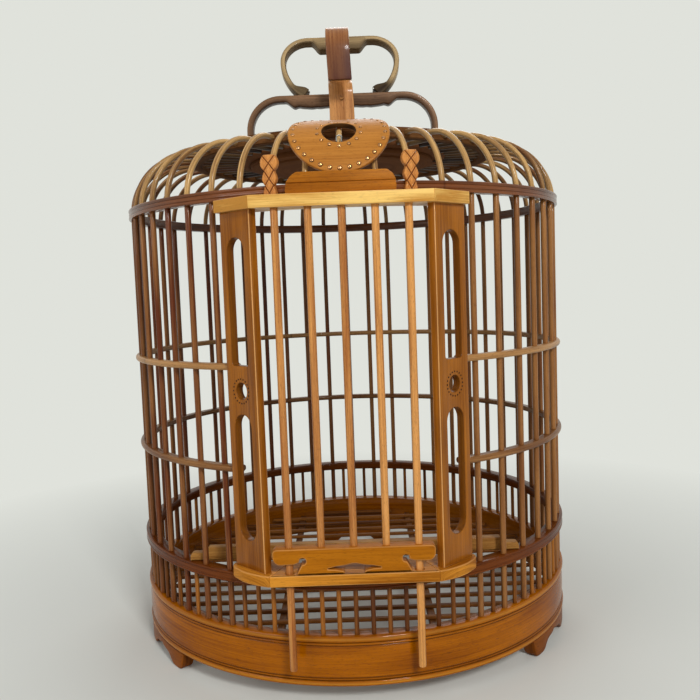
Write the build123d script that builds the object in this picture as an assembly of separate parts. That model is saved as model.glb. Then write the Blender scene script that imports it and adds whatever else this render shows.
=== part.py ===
from build123d import *
from math import asin, atan2, cos, degrees, pi, radians, sin, sqrt
import os

# A round hanging bird cage of split bamboo with a lifting door, in millimetres.
# +Z is up and the gate faces -Y. The pieces are made round the cage's upright axis, and are written
# with the origin on the ground under the middle of the whole cage, gate included.

# Places round the wall, numbered from the middle of the gate towards +X
wall_places = 48
gate_places = 3
place_angle = 360 / wall_places
half_place = place_angle / 2

# Clearances and cutting
drill_clearance = 0.15
guide_clearance = 0.3
seat_gap = 0.2
overrun = 6.0

# Round pieces and holes are given flats: few on the many wall bars, more on the door's bars
bar_flat_count = 4
round_flat_count = 12

# Bars of split bamboo, on the one circle that every ring is built about
bar_circle_radius = 161.5
long_bar_diameter = 4.0
short_bar_diameter = 3.0
short_bar_length = 30.0

# Feet
foot_count = 3
foot_height = 13.0
foot_width = 74.0
foot_toe_inset = 5.0
foot_contact_length = 10.0
foot_arch_height = 8.5
foot_brow_height = 6.5
foot_brow_share = 0.5

# Base ring, with a bead along each edge
base_beyond_bars = 4.0
base_width = 10.0
base_height = 32.0
base_bead_height = 4.3
base_bead_relief = 0.9

# Waist ring
waist_beyond_bars = 4.5
waist_width = 10.0
waist_height = 7.0

# Hoops
hoop_beyond_bars = 5.0
hoop_width = 8.5
hoop_thickness = 4.2
lower_hoop_rise = 67.1
upper_hoop_rise = 131.8

# Top ring
top_ring_beyond_bars = 4.0
top_ring_width = 8.0
top_ring_height = 7.0

# Gate: cranked sill and lintel, with a post between them on each side
sill_thickness = 7.0
lintel_thickness = 7.5
post_height = 219.5
post_width = 28.8
post_thickness = 5.6
post_front_x = 54.4
post_turn = 45.0
gate_beyond_bars = 9.9
gate_lip = 4.0
wing_overhang = 2.8
wing_end_overhang = 2.0
sill_corner_inset = 2.9
sill_wing_bulge = 2.3
sill_wing_round = 7.0
slot_width = 16.0
slot_front_margin = 7.0
upper_slot_bottom = 126.5
upper_slot_top = 203.7
lower_slot_bottom = 18.0
lower_slot_top = 96.5
post_hole_height = 111.0
post_hole_diameter = 10.4

# Door
door_places = (-2, -1, 0, 1, 2)
door_long_places = (-2, 2)
door_bar_diameter = 4.6
door_setback = 1.0
door_bar_tip_drop = 63.0
door_side_gap = 1.14
door_bar_side_inset = 9.8
door_board_height = 15.8
door_board_thickness = 9.0
door_board_corner = 3.0
door_ear_rise = 5.0
door_ear_round = 4.5
door_eye_radius = 2.2
door_eye_x = 31.0
door_eye_height = 7.5
door_slit_width = 2.6
door_slit_reach = 7.5
door_bat_span = 33.0
door_bat_body = 11.0
door_bat_height = 5.6
door_bat_wing_low = 2.2
door_bat_wing_high = 3.2

# Threshold board
threshold_setback = 37.5
threshold_end_inset = 2.5
threshold_thickness = 7.0
threshold_height = 8.5
threshold_end_height = 5.0
threshold_end_length = 12.0
threshold_end_round = 2.5

# Floor
floor_rise = 21.0
floor_strip_width = 4.5
floor_strip_thickness = 2.5
floor_side_strips = 8
floor_edge_margin = 7.5
floor_batten_width = 5.0
floor_batten_depth = 5.0
floor_batten_x = 52.0

# Shoulder, crown and hub
rib_diameter = 3.8
rib_bend_radius = 41.0
rib_bend_flat_count = 4
rib_bend_drop = 3.0
crown_setback = 4.0
crown_width = 8.5
crown_height = 7.0
hub_distance = 26.0
hub_step = 10.0
hub_upper_thickness = 6.0
hub_below_ribs_share = 1 / 3
hub_lower_thickness = 3.5
hub_boss_thickness = 1.5

# Medallion, its studs and its staple
medallion_radius = 31.0
medallion_thickness = 3.0
medallion_hole_radius = 10.25
medallion_low_angle = 9.6
medallion_rim_flat_count = 32
rim_stud_count = 30
rim_stud_circle = 28.0
eye_stud_count = 14
eye_stud_circle = 13.5
stud_radius = 0.85
stud_height = 0.7
stud_flat_count = 3
staple_wire = 0.9
staple_half_width = 1.5
staple_height = 7.0

# Plinth and braid blocks on the lintel
plinth_half_width = 33.0
plinth_beyond_ring = 2.0
plinth_band_height = 7.2
plinth_brow_height = 6.1
plinth_brow_setback = 1.0
braid_place = 2
braid_side_shift = 1.5
braid_lobe_radius = 5.3
braid_lobe_pitch = 7.0
braid_lobes = 3
braid_thickness = 4.0
braid_foot_width = 8.0

# Bow handle
bow_rim_inset = 6.0
bow_strip = 5.0
bow_depth = 10.0
bow_front_y = 1.5
bow_rise = 48.6
bow_shoulder_radius = 27.0
bow_grip_half_length = 45.0
bow_grip_thickness = 10.1
bow_grip_slope = 8.5

# Brace loop on the bow
brace_strip = 4.2
brace_depth = 8.0
brace_lean = 22.0
brace_rise = 49.0
brace_lobe_radius = 22.0
brace_lobe_x = 25.8
brace_foot_x = 29.5
brace_foot_flare = 6.0
brace_foot_flare_height = 8.0
brace_grip_half_length = 15.5
brace_grip_thickness = 12.0
brace_grip_slope = 7.5

# Hook strap
strap_thickness = 4.5
strap_root_width = 20.0
strap_tip_width = 17.5
strap_y = -0.75
hook_y = -2.0
hook_rise = 26.4
hook_radius = 20.0
hook_tip_drop = 22.0
rivet_diameter = 2.4
rivet_head_diameter = 4.2
rivet_head_height = 0.9

# Radii worked out from the circle of the bars
base_outer_radius = bar_circle_radius + base_beyond_bars
base_inner_radius = base_outer_radius - base_width
waist_outer_radius = bar_circle_radius + waist_beyond_bars
waist_inner_radius = waist_outer_radius - waist_width
hoop_outer_radius = bar_circle_radius + hoop_beyond_bars
hoop_inner_radius = hoop_outer_radius - hoop_width
top_ring_outer_radius = bar_circle_radius + top_ring_beyond_bars
top_ring_inner_radius = top_ring_outer_radius - top_ring_width
rib_bend_circle = bar_circle_radius - rib_bend_radius
crown_outer_radius = rib_bend_circle - crown_setback
crown_inner_radius = crown_outer_radius - crown_width
hub_upper_radius = crown_inner_radius - hub_distance
hub_lower_radius = hub_upper_radius - hub_step
hub_boss_radius = hub_lower_radius - hub_step
bow_half_width = hub_upper_radius - bow_rim_inset
floor_strip_pitch = (base_inner_radius - floor_edge_margin) / floor_side_strips

# Heights worked out from the ground up
base_top = foot_height + base_height
floor_top_height = foot_height + floor_rise
waist_bottom = base_top + short_bar_length
waist_top = waist_bottom + waist_height
lower_hoop_height = waist_top + lower_hoop_rise
upper_hoop_height = waist_top + upper_hoop_rise
sill_top = waist_top + sill_thickness
lintel_bottom = sill_top + post_height
lintel_top = lintel_bottom + lintel_thickness
ring_top = lintel_top + top_ring_height
rib_bend_base = ring_top - rib_bend_drop
rib_height = rib_bend_base + rib_bend_radius
hub_upper_bottom = rib_height - hub_upper_thickness * hub_below_ribs_share
hub_upper_top = hub_upper_bottom + hub_upper_thickness
bow_top_height = hub_upper_top + bow_rise
hook_height = bow_top_height + hook_rise

# Places for the feet, for the long bars, and for the short bars half way between and under the gate
foot_places = [wall_places * (index + 1 / 2) / foot_count for index in range(foot_count)]
long_places = range(gate_places + 1, wall_places - gate_places)
short_places = [
    half / 2
    for half in range(2 * wall_places)
    if half % 2 == 1 or half // 2 not in long_places
]

# The gate's front, and the post's rear outer corner, reached along its face from the front outer corner
post_front_y = -bar_circle_radius - gate_beyond_bars
gate_front_y = post_front_y - gate_lip
post_along = (cos(radians(post_turn)), sin(radians(post_turn)))
post_outward = (sin(radians(post_turn)), -cos(radians(post_turn)))
post_rear_x = post_front_x + post_width * post_along[0]
post_rear_y = post_front_y + post_width * post_along[1]

# The door, between the posts' inner edges, and the threshold board, out to the waist ring's rim
door_bar_y = post_front_y + door_setback
door_half_width = post_front_x - post_thickness * post_outward[0] - door_side_gap
door_bar_spacing = (door_half_width - door_bar_side_inset) / max(door_places)
plinth_front_y = -top_ring_outer_radius - plinth_beyond_ring
threshold_y = -waist_inner_radius + threshold_setback
threshold_front_y = threshold_y - threshold_thickness / 2
threshold_half_length = sqrt(waist_outer_radius**2 - threshold_front_y**2) - threshold_end_inset


def flat_radius(radius):
    """Distance from the axis to the flats of a ring whose corners lie on radius."""
    return radius * cos(radians(half_place))


def section_radius(diameter, flats):
    """Corner radius of a section with flats and the area of a round bar."""
    return diameter / 2 * sqrt(2 * pi / flats / sin(2 * pi / flats))


def bar_section(diameter, flats=bar_flat_count):
    """A bar's section with one flat square to the cage's radius."""
    return RegularPolygon(section_radius(diameter, flats), flats, rotation=180 / flats)


def round_section(radius):
    """A round section with flats, none of them nearer to the axis than radius."""
    return RegularPolygon(radius, round_flat_count, major_radius=False, rotation=180 / round_flat_count)


def around(shape, places):
    """Copies of a shape that stands at the middle of the gate, turned to other places."""
    return [Rot(0, 0, place * place_angle) * shape for place in places]


def disc(radius, bottom, height):
    """A flat disc with one flat at each place of the wall."""
    outline = RegularPolygon(radius, wall_places, rotation=half_place)
    return Pos(0, 0, bottom) * extrude(outline, height)


def ring(outer_radius, inner_radius, bottom, height):
    """A bent band with one flat at each place of the wall."""
    bore = disc(inner_radius, bottom - overrun, height + 2 * overrun)
    return disc(outer_radius, bottom, height) - bore


def upright(diameter, bottom, top):
    """A bar of the wall at the middle of the gate."""
    return Pos(0, -bar_circle_radius, bottom) * extrude(bar_section(diameter), top - bottom)


def bar_drills(bottom, height):
    """The holes that the long bars take through a ring."""
    drill = upright(long_bar_diameter + 2 * drill_clearance, bottom - overrun, bottom + height + overrun)
    return around(drill, long_places)


def foot():
    """A bracket foot: two toes on the ground and a pointed arch between them, flush with the base ring."""
    half = foot_width / 2
    toe = half - foot_toe_inset
    heel = toe - foot_contact_length
    brow_x = heel * foot_brow_share
    outline = Polyline(
        (0, foot_height),
        (half, foot_height),
        (toe, 0),
        (heel, 0),
        (brow_x, foot_brow_height),
        (0, foot_arch_height),
        (-brow_x, foot_brow_height),
        (-heel, 0),
        (-toe, 0),
        (-half, foot_height),
        (0, foot_height),
    )
    front = Plane.XZ.offset(base_inner_radius / 2)
    block = extrude(front * make_face(outline), base_outer_radius)
    return block & ring(base_outer_radius, base_inner_radius, 0, foot_height)


def base_ring():
    """The wide base band, a little thinner between its two beads."""
    band = ring(base_outer_radius, base_inner_radius, foot_height, base_height)
    face_height = base_height - 2 * base_bead_height
    face_bottom = foot_height + base_bead_height
    face_radius = base_outer_radius - base_bead_relief
    return band - ring(base_outer_radius + overrun, face_radius, face_bottom, face_height)


def waist_ring():
    """The waist band, drilled for the long bars."""
    blank = ring(waist_outer_radius, waist_inner_radius, waist_bottom, waist_height)
    return blank - bar_drills(waist_bottom, waist_height)


def hoop(middle_height):
    """A wall hoop, drilled for the long bars and cut to fit the posts' rear ends."""
    bottom = middle_height - hoop_thickness / 2
    blank = ring(hoop_outer_radius, hoop_inner_radius, bottom, hoop_thickness)
    apex = post_rear_x + post_rear_y
    reach = hoop_outer_radius
    gap = Polyline((0, apex), (reach, apex - reach), (-reach, apex - reach), (0, apex))
    gate_cut = Pos(0, 0, bottom - overrun) * extrude(make_face(gap), hoop_thickness + 2 * overrun)
    return blank - gate_cut - bar_drills(bottom, hoop_thickness)


def top_ring():
    """The dark ring on top of the wall."""
    return ring(top_ring_outer_radius, top_ring_inner_radius, lintel_top, top_ring_height)


def long_bars():
    """The bars from the base ring through the waist ring and both hoops to the top ring."""
    return around(upright(long_bar_diameter, base_top, lintel_top), long_places)


def short_bars():
    """The bars that fill the band between the base ring and the waist ring."""
    return around(upright(short_bar_diameter, base_top, waist_bottom), short_places)


def rib_corner(index):
    """One corner of a rib's bend, where the flats round the bend's circle meet."""
    turn = radians(90 / rib_bend_flat_count)
    angle = (index + 1 / 2) * turn
    reach = rib_bend_radius / cos(turn / 2)
    return (0, -rib_bend_circle - reach * cos(angle), rib_bend_base + reach * sin(angle))


def shoulder_ribs():
    """Ribs that stand on the top ring, bend over the shoulder and run in to the hub's edge."""
    corners = [rib_corner(index) for index in range(rib_bend_flat_count)]
    start = (0, -bar_circle_radius, ring_top)
    end = (0, -flat_radius(hub_upper_radius), rib_height)
    section = Pos(*start) * bar_section(rib_diameter)
    rib = sweep(section, path=Polyline(start, *corners, end), transition=Transition.RIGHT)
    return around(rib, range(wall_places))


def crown_ring():
    """The ring in the roof, drilled across for the ribs."""
    blank = ring(crown_outer_radius, crown_inner_radius, rib_height - crown_height / 2, crown_height)
    across = Plane.XZ.offset(crown_inner_radius - overrun)
    length = crown_outer_radius - crown_inner_radius + 2 * overrun
    drill = extrude(across * bar_section(rib_diameter + 2 * drill_clearance), length)
    return blank - around(Pos(0, 0, rib_height) * drill, range(wall_places))


def hub_mortises():
    """The sockets in the hub for the bow's legs and the hook strap."""
    height = hub_upper_thickness + 2 * overrun
    bottom = hub_upper_bottom - overrun
    leg = Rectangle(bow_strip + 2 * drill_clearance, bow_depth + 2 * drill_clearance)
    strap = Rectangle(strap_root_width + 2 * drill_clearance, strap_thickness + 2 * drill_clearance)
    leg_x = bow_half_width - bow_strip / 2
    leg_y = bow_front_y + bow_depth / 2
    places = [Pos(leg_x, leg_y), Pos(-leg_x, leg_y)]
    sockets = [place * leg for place in places] + [Pos(0, strap_y) * strap]
    return [Pos(0, 0, bottom) * extrude(socket, height) for socket in sockets]


def hub_upper_disc():
    """The disc that the ribs end in and the handles stand in."""
    return disc(hub_upper_radius, hub_upper_bottom, hub_upper_thickness) - hub_mortises()


def hub_lower_disc():
    """The moulded disc under the hub."""
    plate = disc(hub_lower_radius, hub_upper_bottom - hub_lower_thickness, hub_lower_thickness)
    boss_bottom = hub_upper_bottom - hub_lower_thickness - hub_boss_thickness
    return plate + disc(hub_boss_radius, boss_bottom, hub_boss_thickness)


def gate_plan(inner_radius, corner_inset=0, wing_bulge=0):
    """The cranked outline of the sill and the lintel, back to the ring that they lie on."""
    wing_line = post_front_x - post_front_y + wing_overhang * sqrt(2)
    end_x = post_rear_x + wing_overhang * post_outward[0] + wing_end_overhang * post_along[0]
    end_y = post_rear_y + wing_overhang * post_outward[1] + wing_end_overhang * post_along[1]
    corner_x = wing_line + gate_front_y - corner_inset
    outline = Polyline(
        (0, 0),
        (end_x, end_y),
        (corner_x, gate_front_y),
        (-corner_x, gate_front_y),
        (-end_x, end_y),
        (0, 0),
    )
    plan = make_face(outline)
    if wing_bulge:
        corner, end = (corner_x, gate_front_y), (end_x, end_y)
        bulge = make_face([SagittaArc(corner, end, -wing_bulge), Line(end, corner)])
        plan += [bulge, mirror(bulge, Plane.YZ)]
    return plan - RegularPolygon(inner_radius, wall_places, rotation=half_place)


def guide_holes(indices, bottom, height):
    """The round holes that the door's bars slide in."""
    hole = round_section(door_bar_diameter / 2 + guide_clearance)
    bore = Pos(0, door_bar_y, bottom - overrun) * extrude(hole, height + 2 * overrun)
    return [Pos(index * door_bar_spacing, 0, 0) * bore for index in indices]


def gate_sill():
    """The sill on the waist ring, its wings curved and rounded, with holes for the two long door bars."""
    plan = gate_plan(waist_inner_radius, sill_corner_inset, sill_wing_bulge)
    sides = plan.vertices().group_by(Axis.X)
    plan = fillet(sides[0] + sides[-1], sill_wing_round)
    slab = Pos(0, 0, waist_top) * extrude(plan, sill_thickness)
    return slab - guide_holes(door_long_places, waist_top, sill_thickness)


def gate_lintel():
    """The lintel under the top ring, with holes for all the door bars."""
    slab = Pos(0, 0, lintel_bottom) * extrude(gate_plan(top_ring_inner_radius), lintel_thickness)
    return slab - guide_holes(door_places, lintel_bottom, lintel_thickness)


def slot(bottom, top, x):
    """An upright slot with round ends."""
    end = round_section(slot_width / 2)
    middle = Pos(x, (bottom + top) / 2) * Rectangle(slot_width, top - bottom - slot_width)
    return middle + Pos(x, bottom + slot_width / 2) * end + Pos(x, top - slot_width / 2) * end


def gate_post():
    """The right post: a plank across the corner of the gate, pierced by two slots and a round hole."""
    middle = slot_front_margin + slot_width / 2
    plank = Pos(post_width / 2, post_height / 2) * Rectangle(post_width, post_height)
    pierced = plank - slot(upper_slot_bottom, upper_slot_top, middle)
    pierced -= slot(lower_slot_bottom, lower_slot_top, middle)
    pierced -= Pos(middle, post_hole_height) * round_section(post_hole_diameter / 2)
    face = Plane(
        origin=(post_front_x, post_front_y, sill_top),
        x_dir=(*post_along, 0),
        z_dir=(*post_outward, 0),
    )
    return face * extrude(pierced, -post_thickness)


def door_bars():
    """Three bars that stand on the board, and two longer ones that run through it."""
    board_top = sill_top + seat_gap + door_board_height
    bars = []
    for index in door_places:
        bottom = sill_top - door_bar_tip_drop if index in door_long_places else board_top
        bar = extrude(round_section(door_bar_diameter / 2), lintel_top - bottom)
        bars.append(Pos(index * door_bar_spacing, door_bar_y, bottom) * bar)
    return bars


def door_bat():
    """The flat bat-shaped cut at the middle of the board's lower edge."""
    half = door_bat_span / 2
    body = door_bat_body / 2
    return make_face(
        Polyline(
            (-body, 0),
            (-body, door_bat_wing_low),
            (-half, door_bat_wing_high),
            (-body, door_bat_height),
            (body, door_bat_height),
            (half, door_bat_wing_high),
            (body, door_bat_wing_low),
            (body, 0),
            (-body, 0),
        )
    )


def door_ear():
    """The cut at the board's lower right: an eye, a slanting slit below it and the ear's round underside."""
    eye = Pos(door_eye_x, door_eye_height) * round_section(door_eye_radius)
    low_x = door_eye_x + door_slit_reach
    slit = make_face(
        Polyline(
            (door_eye_x - door_slit_width / 2, door_eye_height),
            (door_eye_x + door_slit_width, door_eye_height),
            (low_x + door_slit_width, 0),
            (low_x - door_slit_width, 0),
            (door_eye_x - door_slit_width / 2, door_eye_height),
        )
    )
    far_x = door_half_width + overrun
    under = Rectangle(far_x - low_x, door_ear_rise)
    return eye + slit + Pos((low_x + far_x) / 2, door_ear_rise / 2) * under


def door_board():
    """The cut board at the foot of the door."""
    blank = Pos(0, door_board_height / 2) * Rectangle(2 * door_half_width, door_board_height)
    ear = door_ear()
    shaped = blank - ear - mirror(ear, Plane.YZ) - door_bat()
    side = door_half_width
    ends = [vertex for vertex in shaped.vertices() if abs(vertex.X) > side - seat_gap]
    shaped = fillet([vertex for vertex in ends if vertex.Y > door_eye_height], door_board_corner)
    ends = [vertex for vertex in shaped.vertices() if abs(vertex.X) > side - seat_gap]
    shaped = fillet([vertex for vertex in ends if vertex.Y < door_eye_height], door_ear_round)
    front = Plane((0, door_bar_y, sill_top + seat_gap), x_dir=(1, 0, 0), z_dir=(0, -1, 0))
    board = front * extrude(shaped, door_board_thickness / 2, both=True)
    drill = round_section(door_bar_diameter / 2 + drill_clearance)
    bore = Pos(0, door_bar_y, sill_top - overrun) * extrude(drill, door_board_height + 2 * overrun)
    return board - [Pos(index * door_bar_spacing, 0, 0) * bore for index in door_long_places]


def threshold_board():
    """The board across the inside, with lower rounded ends that rest on the waist ring."""
    half = threshold_half_length
    step = half - threshold_end_length
    outline = Polyline(
        (-half, 0),
        (half, 0),
        (half, threshold_end_height),
        (step, threshold_end_height),
        (step, threshold_height),
        (-step, threshold_height),
        (-step, threshold_end_height),
        (-half, threshold_end_height),
        (-half, 0),
    )
    face = make_face(outline)
    ends = [vertex for vertex in face.vertices() if abs(vertex.X) > step and vertex.Y > 0]
    ends = [vertex for vertex in ends if abs(vertex.X) > (half + step) / 2]
    face = fillet(ends, threshold_end_round)
    upright_plane = Plane((0, threshold_y, waist_top), x_dir=(1, 0, 0), z_dir=(0, -1, 0))
    return upright_plane * extrude(face, threshold_thickness / 2, both=True)


def floor_half_length(offset):
    """Half the length of a floor piece whose far edge is this far from the middle."""
    radius = flat_radius(base_inner_radius) - guide_clearance
    return sqrt(radius**2 - offset**2)


def floor_strips():
    """The strips of the floor, side to side, cut to the base ring."""
    strips = []
    middle_height = floor_top_height - floor_strip_thickness / 2
    for index in range(-floor_side_strips, floor_side_strips + 1):
        y = index * floor_strip_pitch
        length = 2 * floor_half_length(abs(y) + floor_strip_width / 2)
        strips.append(Pos(0, y, middle_height) * Box(length, floor_strip_width, floor_strip_thickness))
    return strips


def floor_battens():
    """The two battens under the strips, front to back."""
    length = 2 * floor_half_length(floor_batten_x + floor_batten_width / 2)
    middle_height = floor_top_height - floor_strip_thickness - floor_batten_depth / 2
    batten = Pos(0, 0, middle_height) * Box(floor_batten_width, length, floor_batten_depth)
    return [Pos(side * floor_batten_x, 0, 0) * batten for side in (-1, 1)]


def medallion_inner_radius():
    """The medallion's inside bend, just clear of the middle rib's outer corners."""
    corner = rib_bend_radius / cos(radians(45 / rib_bend_flat_count))
    return corner + rib_diameter / 2 + drill_clearance


def medallion_middle_angle():
    """The bend angle at the medallion's centre, from its low edge up by its own radius."""
    middle_radius = medallion_inner_radius() + medallion_thickness / 2
    return medallion_low_angle + degrees(medallion_radius / middle_radius)


def medallion_axis():
    """A plane at the bend's centre line that looks out through the medallion's centre."""
    angle = radians(medallion_middle_angle())
    return Plane(
        origin=(0, -rib_bend_circle, rib_bend_base),
        x_dir=(1, 0, 0),
        z_dir=(0, -cos(angle), sin(angle)),
    )


def medallion_outline(margin):
    """The disc's outline as it looks along that plane, shorter than round because the disc is bent."""
    half_angle = radians(medallion_middle_angle() - medallion_low_angle)
    height = (medallion_inner_radius() + medallion_thickness / 2) * sin(half_angle)
    rim = RegularPolygon(medallion_radius + margin, medallion_rim_flat_count)
    return scale(rim, by=(1, height / medallion_radius, 1))


def medallion_disc():
    """The round disc with a hole, bent over the shoulder."""
    inner = medallion_inner_radius()
    outer = inner + medallion_thickness
    shell = RegularPolygon(outer, wall_places) - RegularPolygon(inner, wall_places)
    side = Plane((0, -rib_bend_circle, rib_bend_base), x_dir=(0, 1, 0), z_dir=(1, 0, 0))
    bent = extrude(side * shell, medallion_radius + overrun, both=True)
    face = medallion_outline(0) - round_section(medallion_hole_radius)
    return bent & extrude(medallion_axis() * face, outer + overrun)


def on_medallion(across, up):
    """A plane on the disc's outer face, at this distance across and up round the bend."""
    outer = medallion_inner_radius() + medallion_thickness
    angle = radians(medallion_middle_angle()) + up / outer
    y = -rib_bend_circle - outer * cos(angle)
    z = rib_bend_base + outer * sin(angle)
    return Plane((across, y, z), x_dir=(1, 0, 0), z_dir=(0, -cos(angle), sin(angle)))


def medallion_studs():
    """The brass studs round the rim and round the hole."""
    studs = []
    for count, circle in ((rim_stud_count, rim_stud_circle), (eye_stud_count, eye_stud_circle)):
        for index in range(count):
            angle = 2 * pi * index / count
            place = on_medallion(circle * sin(angle), -circle * cos(angle))
            studs.append(place * extrude(bar_section(2 * stud_radius, stud_flat_count), stud_height))
    return studs


def medallion_staple():
    """The small wire staple that stands in the lower edge of the disc's hole."""
    hole_drop = medallion_hole_radius - seat_gap
    middle = medallion_inner_radius() + medallion_thickness / 2
    path = Polyline(
        (-staple_half_width, -hole_drop),
        (-staple_half_width, staple_height - hole_drop),
        (staple_half_width, staple_height - hole_drop),
        (staple_half_width, -hole_drop),
    )
    wire = trace(path, staple_wire)
    return medallion_axis() * Pos(0, 0, middle) * extrude(wire, staple_wire / 2, both=True)


def medallion_plinth():
    """The plinth in front of the top ring: a band with a set-back brow whose ends are rounded."""
    back_y = -flat_radius(top_ring_outer_radius)
    band_depth = back_y - plinth_front_y
    band = Pos(0, plinth_band_height / 2) * Rectangle(2 * plinth_half_width, plinth_band_height)
    brow_middle = plinth_band_height + plinth_brow_height / 2
    brow = Pos(0, brow_middle) * Rectangle(2 * plinth_half_width, plinth_brow_height)
    brow = fillet(brow.vertices().group_by(Axis.Y)[-1], plinth_brow_height - seat_gap)
    back = Plane((0, back_y, lintel_top), x_dir=(1, 0, 0), z_dir=(0, -1, 0))
    solid = back * extrude(band, band_depth)
    solid += back * extrude(brow, band_depth - plinth_brow_setback)
    reach = medallion_inner_radius() + medallion_thickness + overrun
    return solid - extrude(medallion_axis() * medallion_outline(drill_clearance), reach)


def braid_block():
    """The right braid block: three lobes one above the other, against a flat of the top ring."""
    outline = Pos(0, braid_lobe_radius / 2) * Rectangle(braid_foot_width, braid_lobe_radius)
    for index in range(braid_lobes):
        lobe_height = braid_lobe_radius + index * braid_lobe_pitch
        outline += Pos(0, lobe_height) * round_section(braid_lobe_radius)
    back = Plane(
        (-braid_side_shift, -flat_radius(top_ring_outer_radius), lintel_top),
        x_dir=(1, 0, 0),
        z_dir=(0, -1, 0),
    )
    return around(back * extrude(outline, braid_thickness), (braid_place,))[0]


def half_grip(half_length, top, strip, thickness, slope):
    """Half of a handle's thicker middle, its underside rising to the strip at the end."""
    return make_face(
        Polyline(
            (0, top),
            (0, top - thickness),
            (half_length - slope, top - thickness),
            (half_length, top - strip),
            (half_length, top),
            (0, top),
        )
    )


def handle_bow():
    """The bow handle: a bent strip with a thicker middle, its legs let into the hub."""
    leg_x = bow_half_width - bow_strip / 2
    middle = bow_top_height - bow_strip / 2
    bend = bow_shoulder_radius - bow_strip / 2
    leg = Line((leg_x, hub_upper_bottom), (leg_x, middle - bend))
    shoulder = CenterArc((leg_x - bend, middle - bend), bend, 0, 90)
    beam = Line((leg_x - bend, middle), (0, middle))
    outline = trace([leg, shoulder, beam], bow_strip)
    outline += half_grip(bow_grip_half_length, bow_top_height, bow_strip, bow_grip_thickness, bow_grip_slope)
    front = Plane((0, bow_front_y, 0), x_dir=(1, 0, 0), z_dir=(0, -1, 0))
    half = front * extrude(outline, -bow_depth)
    return half + mirror(half, Plane.YZ) - rivet_shank(rivet_diameter + 2 * drill_clearance, overrun)


def brace_loop():
    """The kidney-shaped loop that stands on the bow and leans back behind the hook."""
    top = brace_rise / cos(radians(brace_lean))
    bend = brace_lobe_radius - brace_strip / 2
    lobe_height = top - brace_lobe_radius
    below = -overrun
    across, drop = brace_lobe_x + bend - brace_foot_x, lobe_height - below
    side_radius = (across**2 + drop**2) / (2 * across)
    side_x = brace_lobe_x + bend - side_radius
    side_turn = degrees(asin(drop / side_radius))
    flare_x = side_x + sqrt(side_radius**2 - (lobe_height - brace_foot_flare_height) ** 2)
    side = CenterArc((side_x, lobe_height), side_radius, -side_turn, side_turn)
    lobe = CenterArc((brace_lobe_x, lobe_height), bend, 0, 90)
    beam = Line((brace_lobe_x, top - brace_strip / 2), (0, top - brace_strip / 2))
    outline = trace([side, lobe, beam], brace_strip)
    outline += make_face(
        Polyline(
            (brace_foot_x - brace_foot_flare, below),
            (brace_foot_x - brace_foot_flare, 0),
            (flare_x, brace_foot_flare_height),
            (brace_foot_x, below),
            (brace_foot_x - brace_foot_flare, below),
        )
    )
    grip_end = brace_grip_half_length + brace_grip_slope
    outline += half_grip(grip_end, top, brace_strip, brace_grip_thickness, brace_grip_slope)
    lean = radians(brace_lean)
    plane = Plane(
        (0, bow_front_y + bow_depth / 2, bow_top_height),
        x_dir=(1, 0, 0),
        z_dir=(0, -cos(lean), sin(lean)),
    )
    half = plane * extrude(outline, brace_depth / 2, both=True)
    loop = half + mirror(half, Plane.YZ)
    below_bow = Pos(0, 0, bow_top_height - bow_half_width) * Box(
        2 * bow_half_width, 2 * bow_half_width, 2 * bow_half_width
    )
    return loop - below_bow


def strap_bend():
    """Radius of the bend that takes the strap from its stem back under the hook's bow."""
    across = strap_y - hook_y
    rise = hook_height - bow_top_height
    return (across**2 + rise**2 - hook_radius**2) / (2 * (hook_radius - across))


def hook_strap():
    """The hanging hook: one flat strap from the hub up past the bow, back, over and down in front."""
    bend = strap_bend()
    meet = degrees(atan2(hook_height - bow_top_height, hook_y - strap_y - bend))
    stem = Line((strap_y, hub_upper_bottom), (strap_y, bow_top_height))
    back = CenterArc((strap_y + bend, bow_top_height), bend, 180, meet - 180)
    over = CenterArc((hook_y, hook_height), hook_radius, meet - 180, 360 - meet)
    tip = Line((hook_y - hook_radius, hook_height), (hook_y - hook_radius, hook_height - hook_tip_drop))
    ribbon = trace([stem, back, over, tip], strap_thickness)
    strap = extrude(Plane.YZ * ribbon, strap_root_width, both=True)
    top = hook_height + hook_radius + strap_thickness / 2
    root = strap_root_width / 2
    tip_half = strap_tip_width / 2
    front = make_face(
        Polyline(
            (-root, hub_upper_bottom),
            (root, hub_upper_bottom),
            (root, hub_upper_top),
            (tip_half, top),
            (-tip_half, top),
            (-root, hub_upper_top),
            (-root, hub_upper_bottom),
        )
    )
    strap &= extrude(Plane.XZ * front, hook_radius + bow_half_width, both=True)
    return strap - rivet_shank(rivet_diameter + 2 * drill_clearance, overrun)


def rivet_shank(diameter, beyond):
    """The rivet's shank, or its hole, through the strap and the bow's grip."""
    front_y = strap_y - strap_thickness / 2 - beyond
    length = bow_front_y + bow_depth + beyond - front_y
    height = bow_top_height - bow_grip_thickness / 2
    plane = Plane((0, front_y, height), x_dir=(1, 0, 0), z_dir=(0, 1, 0))
    return plane * extrude(bar_section(diameter), length)


def hook_rivet():
    """The rivet that holds the strap to the bow, its head behind the bow."""
    height = bow_top_height - bow_grip_thickness / 2
    plane = Plane((0, bow_front_y + bow_depth, height), x_dir=(1, 0, 0), z_dir=(0, 1, 0))
    head = plane * extrude(bar_section(rivet_head_diameter), rivet_head_height)
    return rivet_shank(rivet_diameter, 0) + head


def save(name, shape):
    """Write one named piece, or one group of like pieces, to its own file."""
    solids = shape if isinstance(shape, list) else [shape]
    back_y = flat_radius(hoop_outer_radius)
    to_middle = Pos(0, -(gate_front_y + back_y) / 2, 0)
    export_step(Compound(children=[to_middle * solid for solid in solids]), f"parts/{name}.step")


os.makedirs("parts", exist_ok=True)

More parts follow.
